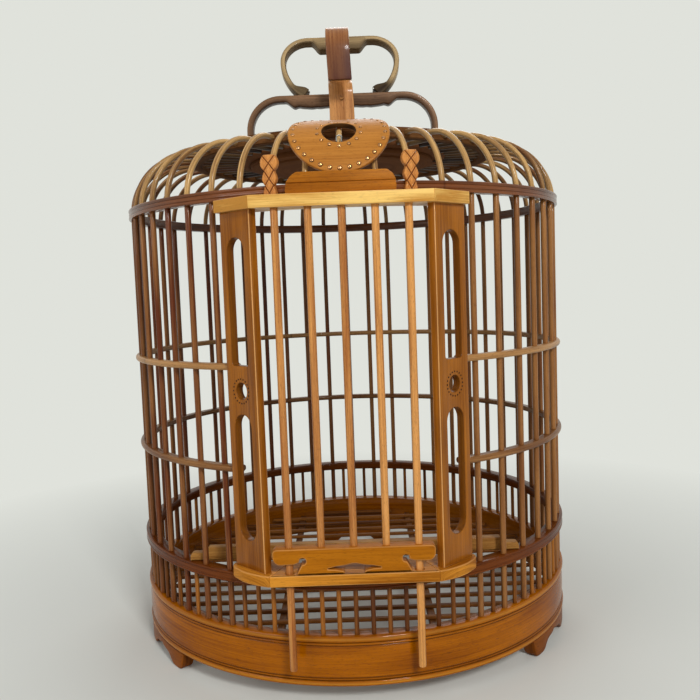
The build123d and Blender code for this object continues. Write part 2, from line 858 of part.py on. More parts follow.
for place, name in zip(foot_places, ("foot_right", "foot_back", "foot_left")):
    save(name, around(foot(), (place,))[0])
save("base_ring", base_ring())
save("floor_strips", floor_strips())
save("floor_battens", floor_battens())
save("short_bars", short_bars())
save("waist_ring", waist_ring())
save("long_bars", long_bars())
save("lower_hoop", hoop(lower_hoop_height))
save("upper_hoop", hoop(upper_hoop_height))
save("top_ring", top_ring())
save("shoulder_ribs", shoulder_ribs())
save("crown_ring", crown_ring())
save("hub_upper_disc", hub_upper_disc())
save("hub_lower_disc", hub_lower_disc())
save("gate_sill", gate_sill())
save("gate_lintel", gate_lintel())
save("gate_post_right", gate_post())
save("gate_post_left", mirror(gate_post(), Plane.YZ))
save("threshold_board", threshold_board())
save("door_board", door_board())
save("door_bars", door_bars())
save("medallion_disc", medallion_disc())
save("medallion_studs", medallion_studs())
save("medallion_staple", medallion_staple())
save("medallion_plinth", medallion_plinth())
save("braid_right", braid_block())
save("braid_left", mirror(braid_block(), Plane.YZ))
save("handle_bow", handle_bow())
save("brace_loop", brace_loop())
save("hook_strap", hook_strap())
save("hook_rivet", hook_rivet())
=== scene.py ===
"""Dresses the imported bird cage: bent bamboo rings, round bars, gate furniture, carved trim and handles."""

import logging
from dataclasses import dataclass, field
from enum import Enum
from math import acos, asin, atan2, cos, pi, radians, sin, sqrt
from typing import ClassVar, Iterable, Sequence

import bmesh
import bpy
import numpy as np
from mathutils import Matrix, Vector
from mathutils.geometry import tessellate_polygon


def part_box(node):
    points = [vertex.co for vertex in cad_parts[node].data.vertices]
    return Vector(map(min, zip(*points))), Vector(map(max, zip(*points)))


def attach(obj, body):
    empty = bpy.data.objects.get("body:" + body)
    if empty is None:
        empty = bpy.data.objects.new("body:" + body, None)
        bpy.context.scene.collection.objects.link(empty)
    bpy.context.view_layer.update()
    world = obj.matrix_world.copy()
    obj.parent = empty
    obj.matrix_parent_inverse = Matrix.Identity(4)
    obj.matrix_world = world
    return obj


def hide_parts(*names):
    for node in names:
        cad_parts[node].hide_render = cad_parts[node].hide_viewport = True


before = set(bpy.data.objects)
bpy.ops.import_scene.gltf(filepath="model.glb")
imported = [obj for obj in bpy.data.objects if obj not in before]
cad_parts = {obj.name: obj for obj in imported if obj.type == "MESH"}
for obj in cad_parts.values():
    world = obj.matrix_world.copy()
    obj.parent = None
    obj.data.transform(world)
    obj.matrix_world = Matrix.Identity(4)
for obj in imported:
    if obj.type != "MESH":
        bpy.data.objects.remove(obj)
log = logging.getLogger("bird_cage")

Array = np.ndarray
Colour = tuple[int, int, int]
Triple = tuple[float, float, float]
Triples = tuple[Triple, ...]
Pair = tuple[float, float]
Row = tuple[float, ...]
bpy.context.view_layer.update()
RING_LOW, RING_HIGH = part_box("base_ring")
AXIS_Y = (RING_LOW.y + RING_HIGH.y) / 2
METRES = 0.001
X_AIM, Y_AIM, Z_AIM = np.eye(3)
MIRROR = np.array([-1.0, 1.0])
POLE = 0.001
RANDOM = np.random.default_rng(48)


class Body(Enum):
    """The two bodies that pieces ride on."""

    CAGE = "cage"
    DOOR = "door"


# Shader maths


def linear(colour: Colour) -> tuple[float, float, float, float]:
    """Turn an 8-bit display colour into a linear one.

    Args:
        colour: red, green and blue from 0 to 255.

    Returns:
        Linear red, green, blue and an alpha of 1.
    """
    share = np.array(colour) / 255
    lit = np.where(share <= 0.04045, share / 12.92, ((share + 0.055) / 1.055) ** 2.4)
    return (float(lit[0]), float(lit[1]), float(lit[2]), 1.0)


class Wire:
    """A node's output socket that takes part in Python arithmetic."""

    def __init__(self, graph: "Graph", socket: bpy.types.NodeSocket) -> None:
        """Wrap one socket of a graph."""
        self.graph = graph
        self.socket = socket

    def _pair(self, operation: str, first: "Wire | float", second: "Wire | float") -> "Wire":
        """Add one Math node on two values."""
        return self.graph.wire("ShaderNodeMath", {"operation": operation}, {0: first, 1: second})

    def __add__(self, other: "Wire | float") -> "Wire":
        """Sum of two values."""
        return self._pair("ADD", self, other)

    __radd__ = __add__

    def __sub__(self, other: "Wire | float") -> "Wire":
        """Difference of two values."""
        return self._pair("SUBTRACT", self, other)

    def __rsub__(self, other: float) -> "Wire":
        """A number less this value."""
        return self._pair("SUBTRACT", other, self)

    def __mul__(self, other: "Wire | float") -> "Wire":
        """Product of two values."""
        return self._pair("MULTIPLY", self, other)

    __rmul__ = __mul__

    def __truediv__(self, other: "Wire | float") -> "Wire":
        """Quotient of two values."""
        return self._pair("DIVIDE", self, other)

    def held(self) -> "Wire":
        """The value held between 0 and 1."""
        return self.graph.wire("ShaderNodeClamp", {}, {"Value": self})

    def near(self, pitch: float) -> "Wire":
        """Distance to the nearest multiple of a pitch."""
        return self._pair("PINGPONG", self, pitch / 2)


class Graph:
    """The node tree of one material or of the world."""

    def __init__(self, owner: bpy.types.Material | bpy.types.World) -> None:
        """Clear the owner's tree and keep it."""
        owner.use_nodes = True
        self.tree = owner.node_tree
        self.tree.nodes.clear()

    def node(self, kind: str, settings: dict, sockets: dict) -> bpy.types.Node:
        """Add any node.

        Args:
            kind: the node's type.
            settings: attributes to set first.
            sockets: values or wires for its inputs, by name or number.

        Returns:
            The new node.
        """
        made = self.tree.nodes.new(kind)
        for name, value in settings.items():
            setattr(made, name, value)
        for key, value in sockets.items():
            if isinstance(value, Wire):
                self.tree.links.new(value.socket, made.inputs[key])
            else:
                made.inputs[key].default_value = value
        return made

    def wire(self, kind: str, settings: dict, sockets: dict, output: int | str = 0) -> Wire:
        """Add any node and take one of its outputs."""
        return Wire(self, self.node(kind, settings, sockets).outputs[output])

    def vector(self, x: Wire | float, y: Wire | float, z: Wire | float) -> Wire:
        """Join three values."""
        return self.wire("ShaderNodeCombineXYZ", {}, {"X": x, "Y": y, "Z": z})

    def noise(self, place: Wire, detail: float = 2.0, roughness: float = 0.5) -> Wire:
        """Smooth noise at a place, a little either side of one half."""
        inputs = {"Vector": place, "Scale": 1.0, "Detail": detail, "Roughness": roughness}
        return self.wire("ShaderNodeTexNoise", {"noise_dimensions": "3D"}, inputs, "Fac")

    def mix(self, share: Wire | float, first: Wire | tuple, second: Wire | tuple) -> Wire:
        """Mix two colours by a share."""
        return self.wire("ShaderNodeMix", {"data_type": "RGBA"}, {0: share, 6: first, 7: second}, 2)

    def attribute(self, name: str) -> Wire:
        """A number that the mesh carries."""
        return self.wire("ShaderNodeAttribute", {"attribute_name": name}, {}, "Fac")

    def rays(self, *kinds: str) -> Wire:
        """One for rays of the kinds named, such as Camera or Glossy, and nought for others."""
        path = self.node("ShaderNodeLightPath", {}, {})
        first, *others = [Wire(self, path.outputs[f"Is {kind} Ray"]) for kind in kinds]
        return sum(others, first).held()

    def surface(self, sockets: dict) -> None:
        """End the tree in a Principled shader with the sockets given."""
        shader = self.wire("ShaderNodeBsdfPrincipled", {}, sockets)
        self.node("ShaderNodeOutputMaterial", {}, {"Surface": shader})


@dataclass(frozen=True)
class Layer:
    """One layer of noise in bamboo.

    It changes so many times a millimetre along and across the fibres, or across for each of the finish's own
    fibres. The seed keeps layers apart, and the gain is its part between the dark and the light colour.
    """

    along: float
    across: float
    seed: float = 0.0
    detail: float = 1.0
    roughness: float = 0.5
    gain: float = 0.0
    fibrous: bool = True


STREAK = Layer(0.013, 1.0, detail=3.0, roughness=0.6, gain=1.5)
FIBRE = Layer(0.06, 4.5, detail=2.0, roughness=0.6, gain=0.8)
BROAD = Layer(0.018, 0.07, 5.0, gain=1.3, fibrous=False)
FLECK = Layer(0.32, 3.2, 9.0)


@dataclass(frozen=True)
class Bamboo:
    """Split or bent bamboo: fibres along the piece, pores, skin colour and a coat of lacquer.

    The mesh's "grain" map gives millimetres along and across the fibres, its "tone" attribute the shade of
    the single bar or board, and its third attribute painted shade in corners, recesses and on hidden sides,
    with the darker skin on the strap, or below nought a painted highlight along an edge or a bead's crest.
    """

    name: str
    light: Colour
    dark: Colour
    pore: Colour = (70, 34, 12)
    fibres_per_mm: float = 0.9
    contrast: float = 1.0
    pores: float = 0.5
    tone_gain: float = 0.5
    roughness: float = 0.36
    lacquer: float = 0.03
    gloss: float = 0.09
    knot_pitch: float = 0.0
    relief: float = 0.00012
    # Colour of the painted shade; on the strap it is the darker skin colour as well.
    shade_and_skin_tint: Colour = (30, 13, 5)
    # Colour of the painted highlight on edges and bead crests, in part standing for worn edges.
    worn: Colour = (244, 186, 118)

    tone_seed: ClassVar[float] = 91.0
    pore_limit: ClassVar[float] = 0.6
    pore_slope: ClassVar[float] = 9.0
    knot_seed: ClassVar[float] = 613.0
    knot_wander: ClassVar[float] = 1.5
    knot_half: ClassVar[float] = 1.1
    halo_half: ClassVar[float] = 9.0
    knot_shade: ClassVar[float] = 0.6
    halo_shade: ClassVar[float] = 0.16
    knot_rise: ClassVar[float] = 0.9
    bump_strength: ClassVar[float] = 0.55
    lacquer_roughness: ClassVar[float] = 0.1
    lacquer_ior: ClassVar[float] = 1.5

    def noise(self, graph: Graph, grain: tuple[Wire, Wire, Wire], layer: Layer) -> Wire:
        """Read a layer of noise on the piece's own map.

        Args:
            graph: the material's node tree.
            grain: millimetres along and across the fibres, and the piece's seed.
            layer: which layer.

        Returns:
            Noise a little either side of one half.
        """
        along, across, seed = grain
        fibres = self.fibres_per_mm if layer.fibrous else 1.0
        depth = seed + layer.seed if layer.seed else seed
        place = graph.vector(along * layer.along, across * (fibres * layer.across), depth)
        return graph.noise(place, layer.detail, layer.roughness)

    def material(self) -> bpy.types.Material:
        """Build the finish's node material.

        Returns:
            A material that reads only the piece's own map and attributes.
        """
        made = bpy.data.materials.new(self.name)
        graph = Graph(made)
        tone, painted_shade_and_highlight = graph.attribute("tone"), graph.attribute("painted_shade_and_highlight")
        uv = graph.wire("ShaderNodeUVMap", {"uv_map": "grain"}, {})
        split = graph.node("ShaderNodeSeparateXYZ", {}, {0: uv})
        along, across = Wire(graph, split.outputs[0]), Wire(graph, split.outputs[1])
        grain = (along, across, tone * self.tone_seed)
        layers = (STREAK, FIBRE, BROAD, FLECK)
        streak, fibre, broad, fleck = (self.noise(graph, grain, layer) for layer in layers)
        share = (
            0.5
            + (streak - 0.5) * (STREAK.gain * self.contrast)
            + (fibre - 0.5) * (FIBRE.gain * self.contrast)
            + (broad - 0.5) * (BROAD.gain * self.contrast)
            + (tone - 0.5) * self.tone_gain
        ).held()
        dark, pore_dark = linear(self.dark), linear(self.pore)
        pore = ((fleck - self.pore_limit) * self.pore_slope).held() * self.pores
        colour = graph.mix(share, dark, linear(self.light))
        colour = graph.mix(pore, colour, pore_dark)
        height = streak * 0.35 + fibre * 0.5 - pore * 0.5
        if self.knot_pitch:
            wander = (broad - 0.5) * self.knot_wander
            line = (along + tone * self.knot_seed + wander).near(self.knot_pitch)
            knot = (1.0 - line / self.knot_half).held()
            halo = (1.0 - line / self.halo_half).held()
            colour = graph.mix(knot * self.knot_shade, colour, pore_dark)
            colour = graph.mix(halo * self.halo_shade, colour, dark)
            height = height + knot * self.knot_rise
        # Painted shade mixes towards the shade colour; below nought the painted highlight mixes towards the
        # worn colour.
        colour = graph.mix((painted_shade_and_highlight * (0.8 + (broad - 0.5))).held(), colour, linear(self.shade_and_skin_tint))
        colour = graph.mix((painted_shade_and_highlight * -1.0 * (0.4 + streak)).held(), colour, linear(self.worn))
        rough = (self.roughness + (fibre - 0.5) * 0.22 + pore * 0.2 + painted_shade_and_highlight * 0.12).held()
        relief = {"Strength": self.bump_strength, "Distance": self.relief, "Height": height}
        graph.surface({
            "Base Color": colour,
            "Roughness": rough,
            "Normal": graph.wire("ShaderNodeBump", {}, relief),
            "Coat Weight": self.lacquer,
            "Coat Roughness": self.lacquer_roughness,
            "Coat IOR": self.lacquer_ior,
            "Specular IOR Level": self.gloss,
        })
        return made


@dataclass(frozen=True)
class Metal:
    """A small metal fitting with a worn, lightly tarnished surface."""

    name: str
    bright: Colour
    tarnish: Colour
    roughness: float = 0.3

    clouds_per_metre: ClassVar[float] = 900.0
    relief: ClassVar[float] = 0.00005

    def material(self) -> bpy.types.Material:
        """Build the finish's node material."""
        made = bpy.data.materials.new(self.name)
        graph = Graph(made)
        place = graph.wire("ShaderNodeTexCoord", {}, {}, "Object")
        scale = {0: place, "Scale": self.clouds_per_metre}
        cloud = graph.noise(graph.wire("ShaderNodeVectorMath", {"operation": "SCALE"}, scale), 3.0)
        tone, painted_shade_and_highlight = graph.attribute("tone"), graph.attribute("painted_shade_and_highlight")
        # Tarnish also gathers where the painted shadow ring lies round each stud's foot.
        worn = ((cloud - 0.5) * 1.8 + (1.0 - tone) + painted_shade_and_highlight).held()
        relief = {"Strength": 0.3, "Distance": self.relief, "Height": cloud}
        graph.surface({
            "Base Color": graph.mix(worn, linear(self.bright), linear(self.tarnish)),
            "Metallic": 1.0,
            "Roughness": self.roughness + worn * 0.25,
            "Normal": graph.wire("ShaderNodeBump", {}, relief),
        })
        return made


# The base's worn colour is the painted highlight on its bead crests.
BASE_LACQUER = Bamboo(
    "base_lacquer", (184, 105, 0), (126, 62, 0), roughness=0.2, lacquer=0.3, gloss=0.02, worn=(238, 172, 66),
)
FOOT_LACQUER = Bamboo("foot_lacquer", (150, 80, 8), (92, 44, 2), roughness=0.32, lacquer=0.1, gloss=0.04)
WAIST_LACQUER = Bamboo(
    "waist_lacquer", (128, 64, 10), (72, 28, 0), knot_pitch=300, lacquer=0.25, roughness=0.26, gloss=0.03,
)
HOOP_TAN = Bamboo("hoop_tan", (192, 142, 86), (112, 68, 32), knot_pitch=280, tone_gain=0.8, lacquer=0.15)
RING_DARK = Bamboo(
    "ring_dark", (142, 82, 40), (76, 36, 14), knot_pitch=280, lacquer=0.35, roughness=0.24, gloss=0.1,
)
CROWN_DARK = Bamboo("crown_dark", (150, 102, 60), (80, 48, 24), lacquer=0.0, roughness=0.6, gloss=0.02)
BAR_BROWN = Bamboo(
    "bar_brown", (166, 114, 62), (98, 45, 20), tone_gain=0.95, fibres_per_mm=1.2, lacquer=0.2, roughness=0.28,
)
BAND_BAR_BROWN = Bamboo(
    "band_bar_brown", (168, 104, 38), (88, 46, 16), tone_gain=0.9, fibres_per_mm=1.2, lacquer=0.25,
)
DOOR_BAR_TAN = Bamboo(
    "door_bar_tan", (226, 160, 88), (158, 92, 40), tone_gain=0.8, fibres_per_mm=1.1, lacquer=0.3,
    roughness=0.26,
)
RIB_TAN = Bamboo(
    "rib_tan", (224, 180, 114), (104, 60, 30), tone_gain=0.95, fibres_per_mm=1.2, lacquer=0.22,
    roughness=0.24,
)
LINTEL_GOLD = Bamboo(
    "lintel_gold", (248, 204, 116), (198, 138, 58), pores=0.12, fibres_per_mm=0.35, contrast=1.5,
)
SILL_GOLD = Bamboo(
    "sill_gold", (220, 146, 48), (150, 86, 14), pores=0.3, fibres_per_mm=0.7, gloss=0.05, contrast=1.4,
)
POST_HONEY = Bamboo(
    "post_honey", (178, 108, 28), (116, 62, 10), pores=0.3, fibres_per_mm=0.8, contrast=0.9, lacquer=0.12,
    roughness=0.24,
)
BOARD_HONEY = Bamboo("board_honey", (182, 110, 18), (140, 76, 5), pores=0.35, fibres_per_mm=0.8, gloss=0.04)
MEDALLION_AMBER = Bamboo(
    "medallion_amber", (200, 134, 58), (160, 98, 34), pores=0.3, fibres_per_mm=0.8, contrast=0.8,
)
PLINTH_AMBER = Bamboo("plinth_amber", (188, 116, 26), (138, 76, 10), pores=0.4, fibres_per_mm=0.8)
# Its shade tint colours the painted shade in the cut grooves.
BRAID_GOLD = Bamboo(
    "braid_gold", (218, 148, 78), (168, 100, 42), pores=0.2, fibres_per_mm=1.0, lacquer=0.06,
    shade_and_skin_tint=(92, 38, 20),
)
FLOOR_PLAIN = Bamboo("floor_plain", (142, 88, 34), (74, 36, 10), tone_gain=0.7, lacquer=0.02, roughness=0.5)
THRESHOLD_TAN = Bamboo("threshold_tan", (190, 138, 70), (132, 86, 36), lacquer=0.02, roughness=0.45)
HUB_DARK = Bamboo(
    "hub_dark", (132, 86, 52), (76, 44, 24), fibres_per_mm=0.6, contrast=0.5, pores=0.2, lacquer=0.0,
    roughness=0.7, gloss=0.02,
)
BOW_DARK = Bamboo("bow_dark", (172, 130, 94), (88, 62, 43), fibres_per_mm=0.8, lacquer=0.14, roughness=0.26)
BRACE_OLIVE = Bamboo(
    "brace_olive", (204, 174, 126), (128, 106, 74), fibres_per_mm=1.0, lacquer=0.08, pores=0.2,
)
# Its shade tint is the strap's darker skin colour, laid on with painted shade.
STRAP_FLESH = Bamboo(
    "strap_flesh", (224, 160, 96), (164, 102, 52), fibres_per_mm=0.8, contrast=1.4, lacquer=0.25,
    roughness=0.26, shade_and_skin_tint=(84, 44, 34),
)
PUNCH_DARK = Bamboo("punch_dark", (60, 30, 12), (28, 13, 5), lacquer=0.0, roughness=0.7)
BRASS = Metal("brass_studs", (204, 150, 98), (66, 36, 20), 0.16)
BRONZE = Metal("bronze_rivet", (170, 118, 70), (96, 62, 36), 0.45)
STEEL = Metal("steel_wire", (176, 174, 168), (96, 90, 82), 0.34)


# Shapes, all in millimetres about the cage's upright axis, with the gate towards -Y


def around(count: int) -> Array:
    """Angles all round, evenly spaced."""
    return np.arange(count) * 2 * pi / count


def arc(x: float, y: float, radius: float, turn: Array) -> Array:
    """Points of a circle at the angles given."""
    return np.column_stack([x + radius * np.cos(turn), y + radius * np.sin(turn)])


def circle(radius: float, count: int, x: float = 0.0, y: float = 0.0) -> Array:
    """Points round a circle."""
    return arc(x, y, radius, around(count))


def stacked(*parts: Array) -> Array:
    """Join arrays that fit each other as the last axis."""
    return np.stack(np.broadcast_arrays(*parts), axis=-1)


def smooth(share: Array) -> Array:
    """A soft step from 0 to 1: three times the square less twice the cube."""
    held = np.clip(share, 0, 1)
    return held * held * (3 - 2 * held)


def bell(distance: Array, width: float) -> Array:
    """One at nought, falling away as the exponential of the square of the distance over the width."""
    return np.exp(-((distance / width) ** 2))


def softened(line: Array) -> Array:
    """A line of values, each but the ends averaged with its neighbours in parts of one, two and one."""
    soft = line.copy()
    soft[1:-1] = line[:-2] * 0.25 + line[1:-1] * 0.5 + line[2:] * 0.25
    return soft


def square(points: Array) -> list[Triple]:
    """Corners that aren't rounded at all."""
    return [(x, y, 0.0) for x, y in points]


def both_sides(right: Sequence[Triple]) -> list[Triple]:
    """Corners on the right, and their mirror images on the way back."""
    return [*right, *((-x, y, radius) for x, y, radius in right[::-1])]


def rounded(corners: Sequence[Triple], steps: int = 5) -> Array:
    """Round the corners of a closed polygon with true arcs.

    Args:
        corners: x, y and the wanted radius of each corner in turn.
        steps: spans in each arc.

    Returns:
        The outline as points (n, 2). An arc's centre lies on the corner's bisector at radius over the sine
        of half the corner's angle.
    """
    points: list[Array] = []
    count = len(corners)
    for index, (x, y, radius) in enumerate(corners):
        corner = np.array((x, y))
        before = np.array(corners[index - 1][:2]) - corner
        after = np.array(corners[(index + 1) % count][:2]) - corner
        reach = min(np.linalg.norm(before), np.linalg.norm(after))
        before, after = before / np.linalg.norm(before), after / np.linalg.norm(after)
        half = acos(float(np.clip(before @ after, -1, 1))) / 2
        if radius <= 0 or half > radians(89):
            points.append(corner[None])
            continue
        radius = min(radius, 0.499 * reach * np.tan(half))
        centre = corner + (before + after) / np.linalg.norm(before + after) * radius / sin(half)
        first = corner + before * radius / np.tan(half) - centre
        last = corner + after * radius / np.tan(half) - centre
        turn = pi - 2 * half
        share = np.linspace(0, 1, steps + 1)[:, None]
        points.append(centre + (np.sin((1 - share) * turn) * first + np.sin(share * turn) * last) / sin(turn))
    return np.vstack(points)


def divided(outline: Array, step: float) -> Array:
    """Add points to a closed outline so that no span is longer than a step."""
    ends = np.roll(outline, -1, axis=0)
    parts = []
    for start, end in zip(outline, ends):
        spans = max(1, int(np.ceil(np.linalg.norm(end - start) / step)))
        parts.append(start + (end - start) * (np.arange(spans) / spans)[:, None])
    return np.vstack(parts)


def box_section(half_a: Array | float, half_b: Array | float, radius: float, steps: int = 3) -> Array:
    """Rounded rectangles about the origin.

    Args:
        half_a: half size along the first axis, one value or one for each row.
        half_b: half size along the second axis, in the same way.
        radius: corner radius, held to the half sizes.
        steps: spans in each corner.

    Returns:
        Sections (n, m, 2): each corner is a quarter circle about a centre set in by the radius.
    """
    half_a, half_b = np.atleast_1d(half_a).astype(float), np.atleast_1d(half_b).astype(float)
    half_a, half_b = np.broadcast_arrays(half_a, half_b)
    held = np.minimum(radius, 0.98 * np.minimum(half_a, half_b))[:, None]
    turn = np.concatenate([np.linspace(0, pi / 2, steps + 1) + quarter * pi / 2 for quarter in range(4)])
    sign_a = np.repeat([1, -1, -1, 1], steps + 1)
    sign_b = np.repeat([1, 1, -1, -1], steps + 1)
    first = sign_a * (half_a[:, None] - held) + held * np.cos(turn)
    second = sign_b * (half_b[:, None] - held) + held * np.sin(turn)
    return np.stack([first, second], axis=-1)


def lengths(points: Array, closed: bool) -> Array:
    """Distance run along a line of points, with the closing span where it is closed."""
    line = np.concatenate([points, points[:1]]) if closed else points
    return np.concatenate([[0.0], np.cumsum(np.linalg.norm(np.diff(line, axis=0), axis=1))])


class Surface:
    """Grids and flat faces that become one closed mesh."""

    def __init__(self) -> None:
        """Start with nothing."""
        self.points: list[Array] = []
        self.faces: list[list[int]] = []
        self.flat: list[bool] = []
        self.grain: list[Array] = []
        self.tone: list[Array] = []
        self.painted_shade_and_highlight: list[Array] = []
        self.count = 0

    def _keep(self, points: Array, tone: float, painted_shade_and_highlight: Array | float) -> None:
        """Keep points with their tone and their painted shade and highlight."""
        self.points.append(points)
        self.tone.append(np.full(len(points), tone))
        self.painted_shade_and_highlight.append(np.broadcast_to(painted_shade_and_highlight, (len(points),)))
        self.count += len(points)

    def grid(self, points: Array, grain: Array, tone: float = 0.5, painted_shade_and_highlight: Array | float = 0.0) -> None:
        """Add a grid of quads.

        Args:
            points: (n, m, 3).
            grain: (n or n + 1, m or m + 1, 2); one more row or column than the points closes that way round.
            tone: the shade of this piece.
            painted_shade_and_highlight: painted shade, or below nought painted highlight, one value or (n,
                m).
        """
        rows, columns = points.shape[:2]
        index = np.arange(rows * columns).reshape(rows, columns) + self.count
        if grain.shape[0] > rows:
            index = np.vstack([index, index[:1]])
        if grain.shape[1] > columns:
            index = np.hstack([index, index[:, :1]])
        around = ((slice(None, -1), slice(None, -1)), (slice(1, None), slice(None, -1)))
        around += ((slice(1, None), slice(1, None)), (slice(None, -1), slice(1, None)))
        quads = np.stack([index[part] for part in around], axis=-1).reshape(-1, 4)
        self.faces.extend(quads.tolist())
        self.flat.extend([False] * len(quads))
        self.grain.append(np.stack([grain[part] for part in around], axis=2).reshape(-1, 2))
        darkening = painted_shade_and_highlight if np.isscalar(painted_shade_and_highlight) else np.broadcast_to(painted_shade_and_highlight, (rows, columns)).reshape(-1)
        self._keep(points.reshape(-1, 3), tone, darkening)

    def plate(
        self,
        place: Matrix,
        loops: Sequence[Array],
        thickness: float,
        edge: float = 0.5,
        turn: float = 0.0,
        tone: float = 0.5,
        edge_highlight: float = 0.0,
        highlight_side: tuple[float, float] | None = None,
        hole_wall_light: float = 0.0,
    ) -> None:
        """Add a flat board with holes and rounded edges.

        Args:
            place: where the board's plane stands; its thickness lies below its own z = 0.
            loops: the outline, then the holes.
            thickness: of the board.
            edge: radius of its edges.
            turn: angle of the fibres from the board's x, in radians.
            tone: the shade of this piece.
            edge_highlight: how much painted highlight its outer edges get, standing in part for worn edges.
            highlight_side: the side, as a direction, where that highlight is, if not all round.
            hole_wall_light: how much painted light, or below nought painted shade, the walls of its holes
                get.

        Every loop is set in along its corners' bisectors by edge times one less the cosine, at a depth of
        edge times one less the sine, and the faces between the innermost loops are filled with triangles. On
        the walls the depth is added along or across the fibres by the wall's own direction.
        """
        bend = np.linspace(pi / 2, 0, 4)
        inset, depth = edge * (1 - np.cos(bend)), edge * (1 - np.sin(bend))
        insets = np.concatenate([inset, inset[::-1]])
        depths = np.concatenate([-depth, (depth - thickness)[::-1]])
        # Rows of the rounded rim that take the painted edge highlight, and rows of the walls.
        corners = np.array([0, 1, 1, 0, 0, 1, 1, 0])[:, None]
        walls = np.array([0, 0, 1, 1, 1, 1, 0, 0])[:, None]
        fibres = np.array([[cos(turn), -sin(turn)], [sin(turn), cos(turn)]])
        rims: list[tuple[int, int]] = []
        inner: list[Array] = []
        for number, loop in enumerate(loops):
            ahead = np.roll(loop, -1, axis=0)
            area = float(np.sum(loop[:, 0] * ahead[:, 1] - loop[:, 1] * ahead[:, 0]))
            loop = loop if (area > 0) == (number == 0) else loop[::-1]
            span = np.roll(loop, -1, axis=0) - loop
            span /= np.maximum(np.linalg.norm(span, axis=1, keepdims=True), 1e-9)
            left = np.column_stack([-span[:, 1], span[:, 0]])
            bisector = left + np.roll(left, 1, axis=0)
            bisector /= np.maximum(np.sum(bisector * left, axis=1, keepdims=True), 0.35)
            flat = loop[None] + insets[:, None, None] * bisector[None]
            rows = stacked(flat[..., 0], flat[..., 1], depths[:, None])
            facing = bisector / np.linalg.norm(bisector, axis=1, keepdims=True)
            grain = flat @ fibres + np.abs(facing @ fibres)[None] * depths[:, None, None]
            # The outline's rim gets a painted highlight, on one side if a side is given; the walls of the
            # holes get painted light, or painted shade below nought.
            lit_side = np.ones(len(loop)) if highlight_side is None else np.clip(-facing @ np.array(highlight_side), 0, 1)
            edge_light = -hole_wall_light * walls + 0 * lit_side if number else -edge_highlight * corners * lit_side
            rims.append((self.count, self.count + (len(insets) - 1) * len(loop)))
            inner.append(flat[0])
            self.grid(self._placed(place, rows), np.concatenate([grain, grain[:, :1]], axis=1), tone, edge_light)
        triangles = tessellate_polygon([[Vector((x, y, 0)) for x, y in loop] for loop in inner])
        for end in range(2):
            index = np.concatenate([np.arange(len(loop)) + rim[end] for loop, rim in zip(inner, rims)])
            flat_grain = np.concatenate(inner) @ fibres
            faces = [list(triangle) if end else list(triangle)[::-1] for triangle in triangles]
            self.faces.extend([[int(index[corner]) for corner in face] for face in faces])
            self.flat.extend([True] * len(faces))
            self.grain.append(np.concatenate([flat_grain[face] for face in faces]))

    @staticmethod
    def _placed(place: Matrix, points: Array) -> Array:
        """Carry points from a plane's own axes to the cage's."""
        turn = np.array(place)
        return points @ turn[:3, :3].T + turn[:3, 3]

    def object(self, name: str, sharp: float = 38.0) -> bpy.types.Object:
        """Make the mesh object, in metres, with its place in its mesh.

        Args:
            name: the object's name.
            sharp: edges with a bend over this many degrees stay sharp.

        Returns:
            The object, linked to the scene.
        """
        mesh = bpy.data.meshes.new(name)
        points = np.concatenate(self.points) * METRES + np.array([0.0, AXIS_Y, 0.0])
        mesh.from_pydata(points, [], self.faces)
        layer = mesh.uv_layers.new(name="grain")
        layer.data.foreach_set("uv", np.concatenate(self.grain).astype(np.float32).ravel())
        for label, values in (("tone", self.tone), ("painted_shade_and_highlight", self.painted_shade_and_highlight)):
            attribute = mesh.attributes.new(label, "FLOAT", "POINT")
            attribute.data.foreach_set("value", np.concatenate(values).astype(np.float32))
        mesh.polygons.foreach_set("use_smooth", [not flat for flat in self.flat])
        work = bmesh.new()
        work.from_mesh(mesh)
        bmesh.ops.remove_doubles(work, verts=work.verts, dist=2e-6)
        bmesh.ops.dissolve_degenerate(work, edges=work.edges, dist=1e-7)
        bmesh.ops.recalc_face_normals(work, faces=work.faces)
        work.to_mesh(mesh)
        work.free()
        mesh.set_sharp_from_angle(angle=radians(sharp))
        made = bpy.data.objects.new(name, mesh)
        bpy.context.collection.objects.link(made)
        return made


def inside(profile: Array) -> Array:
    """Painted shade on a ring's inner face: most at its smallest radius, none 3 mm further out."""
    return 0.55 * smooth((profile[..., 0].min() + 3.0 - profile[..., 0]) / 2.0)


def revolve(
    surface: Surface, profile: Array, angles: Array, full: bool, tone: float = 0.5, painted_shade_and_highlight: Array | float = 0.0
) -> None:
    """Turn a closed profile about the cage's axis.

    Args:
        surface: what to add to.
        profile: radius and height (m, 2), or (n, m, 2) with one profile for each angle.
        angles: radians from the gate's middle towards +X, (n,) or (n, m).
        full: closes the ring; otherwise each end is closed by a flat face.
        tone: the shade of this piece.
        painted_shade_and_highlight: painted shade, or below nought painted highlight, one value or one for
            each point of the profile.

    A point stands at x = r sin(angle), y = -r cos(angle).
    """
    profiles = profile if profile.ndim == 3 else profile[None]
    turn = angles if angles.ndim == 2 else angles[:, None]
    if not full:
        profiles = np.broadcast_to(profiles, (len(turn),) + profiles.shape[1:])
        turn = np.broadcast_to(turn, profiles.shape[:2])
        middles = np.broadcast_to(profiles.mean(axis=1, keepdims=True), profiles.shape)
        profiles = np.concatenate([middles[:1], profiles, middles[-1:]])
        ends = np.broadcast_to(turn.mean(axis=1, keepdims=True), turn.shape)
        turn = np.concatenate([ends[:1], turn, ends[-1:]])
    radius, height = profiles[..., 0], profiles[..., 1]
    points = np.stack([radius * np.sin(turn), -radius * np.cos(turn), height + 0 * turn], axis=-1)
    across = lengths(profiles[len(profiles) // 2], True)
    along = turn[:, 0] * float(radius.mean())
    if full:
        along = np.append(along, along[0] + 2 * pi * float(radius.mean()))
    surface.grid(points, stacked(along[:, None], across[None, :]), tone, painted_shade_and_highlight)


def ring_angles(count: int = 240) -> Array:
    """Angles all round, starting at the back, where a bent ring has its joint."""
    return pi + around(count)


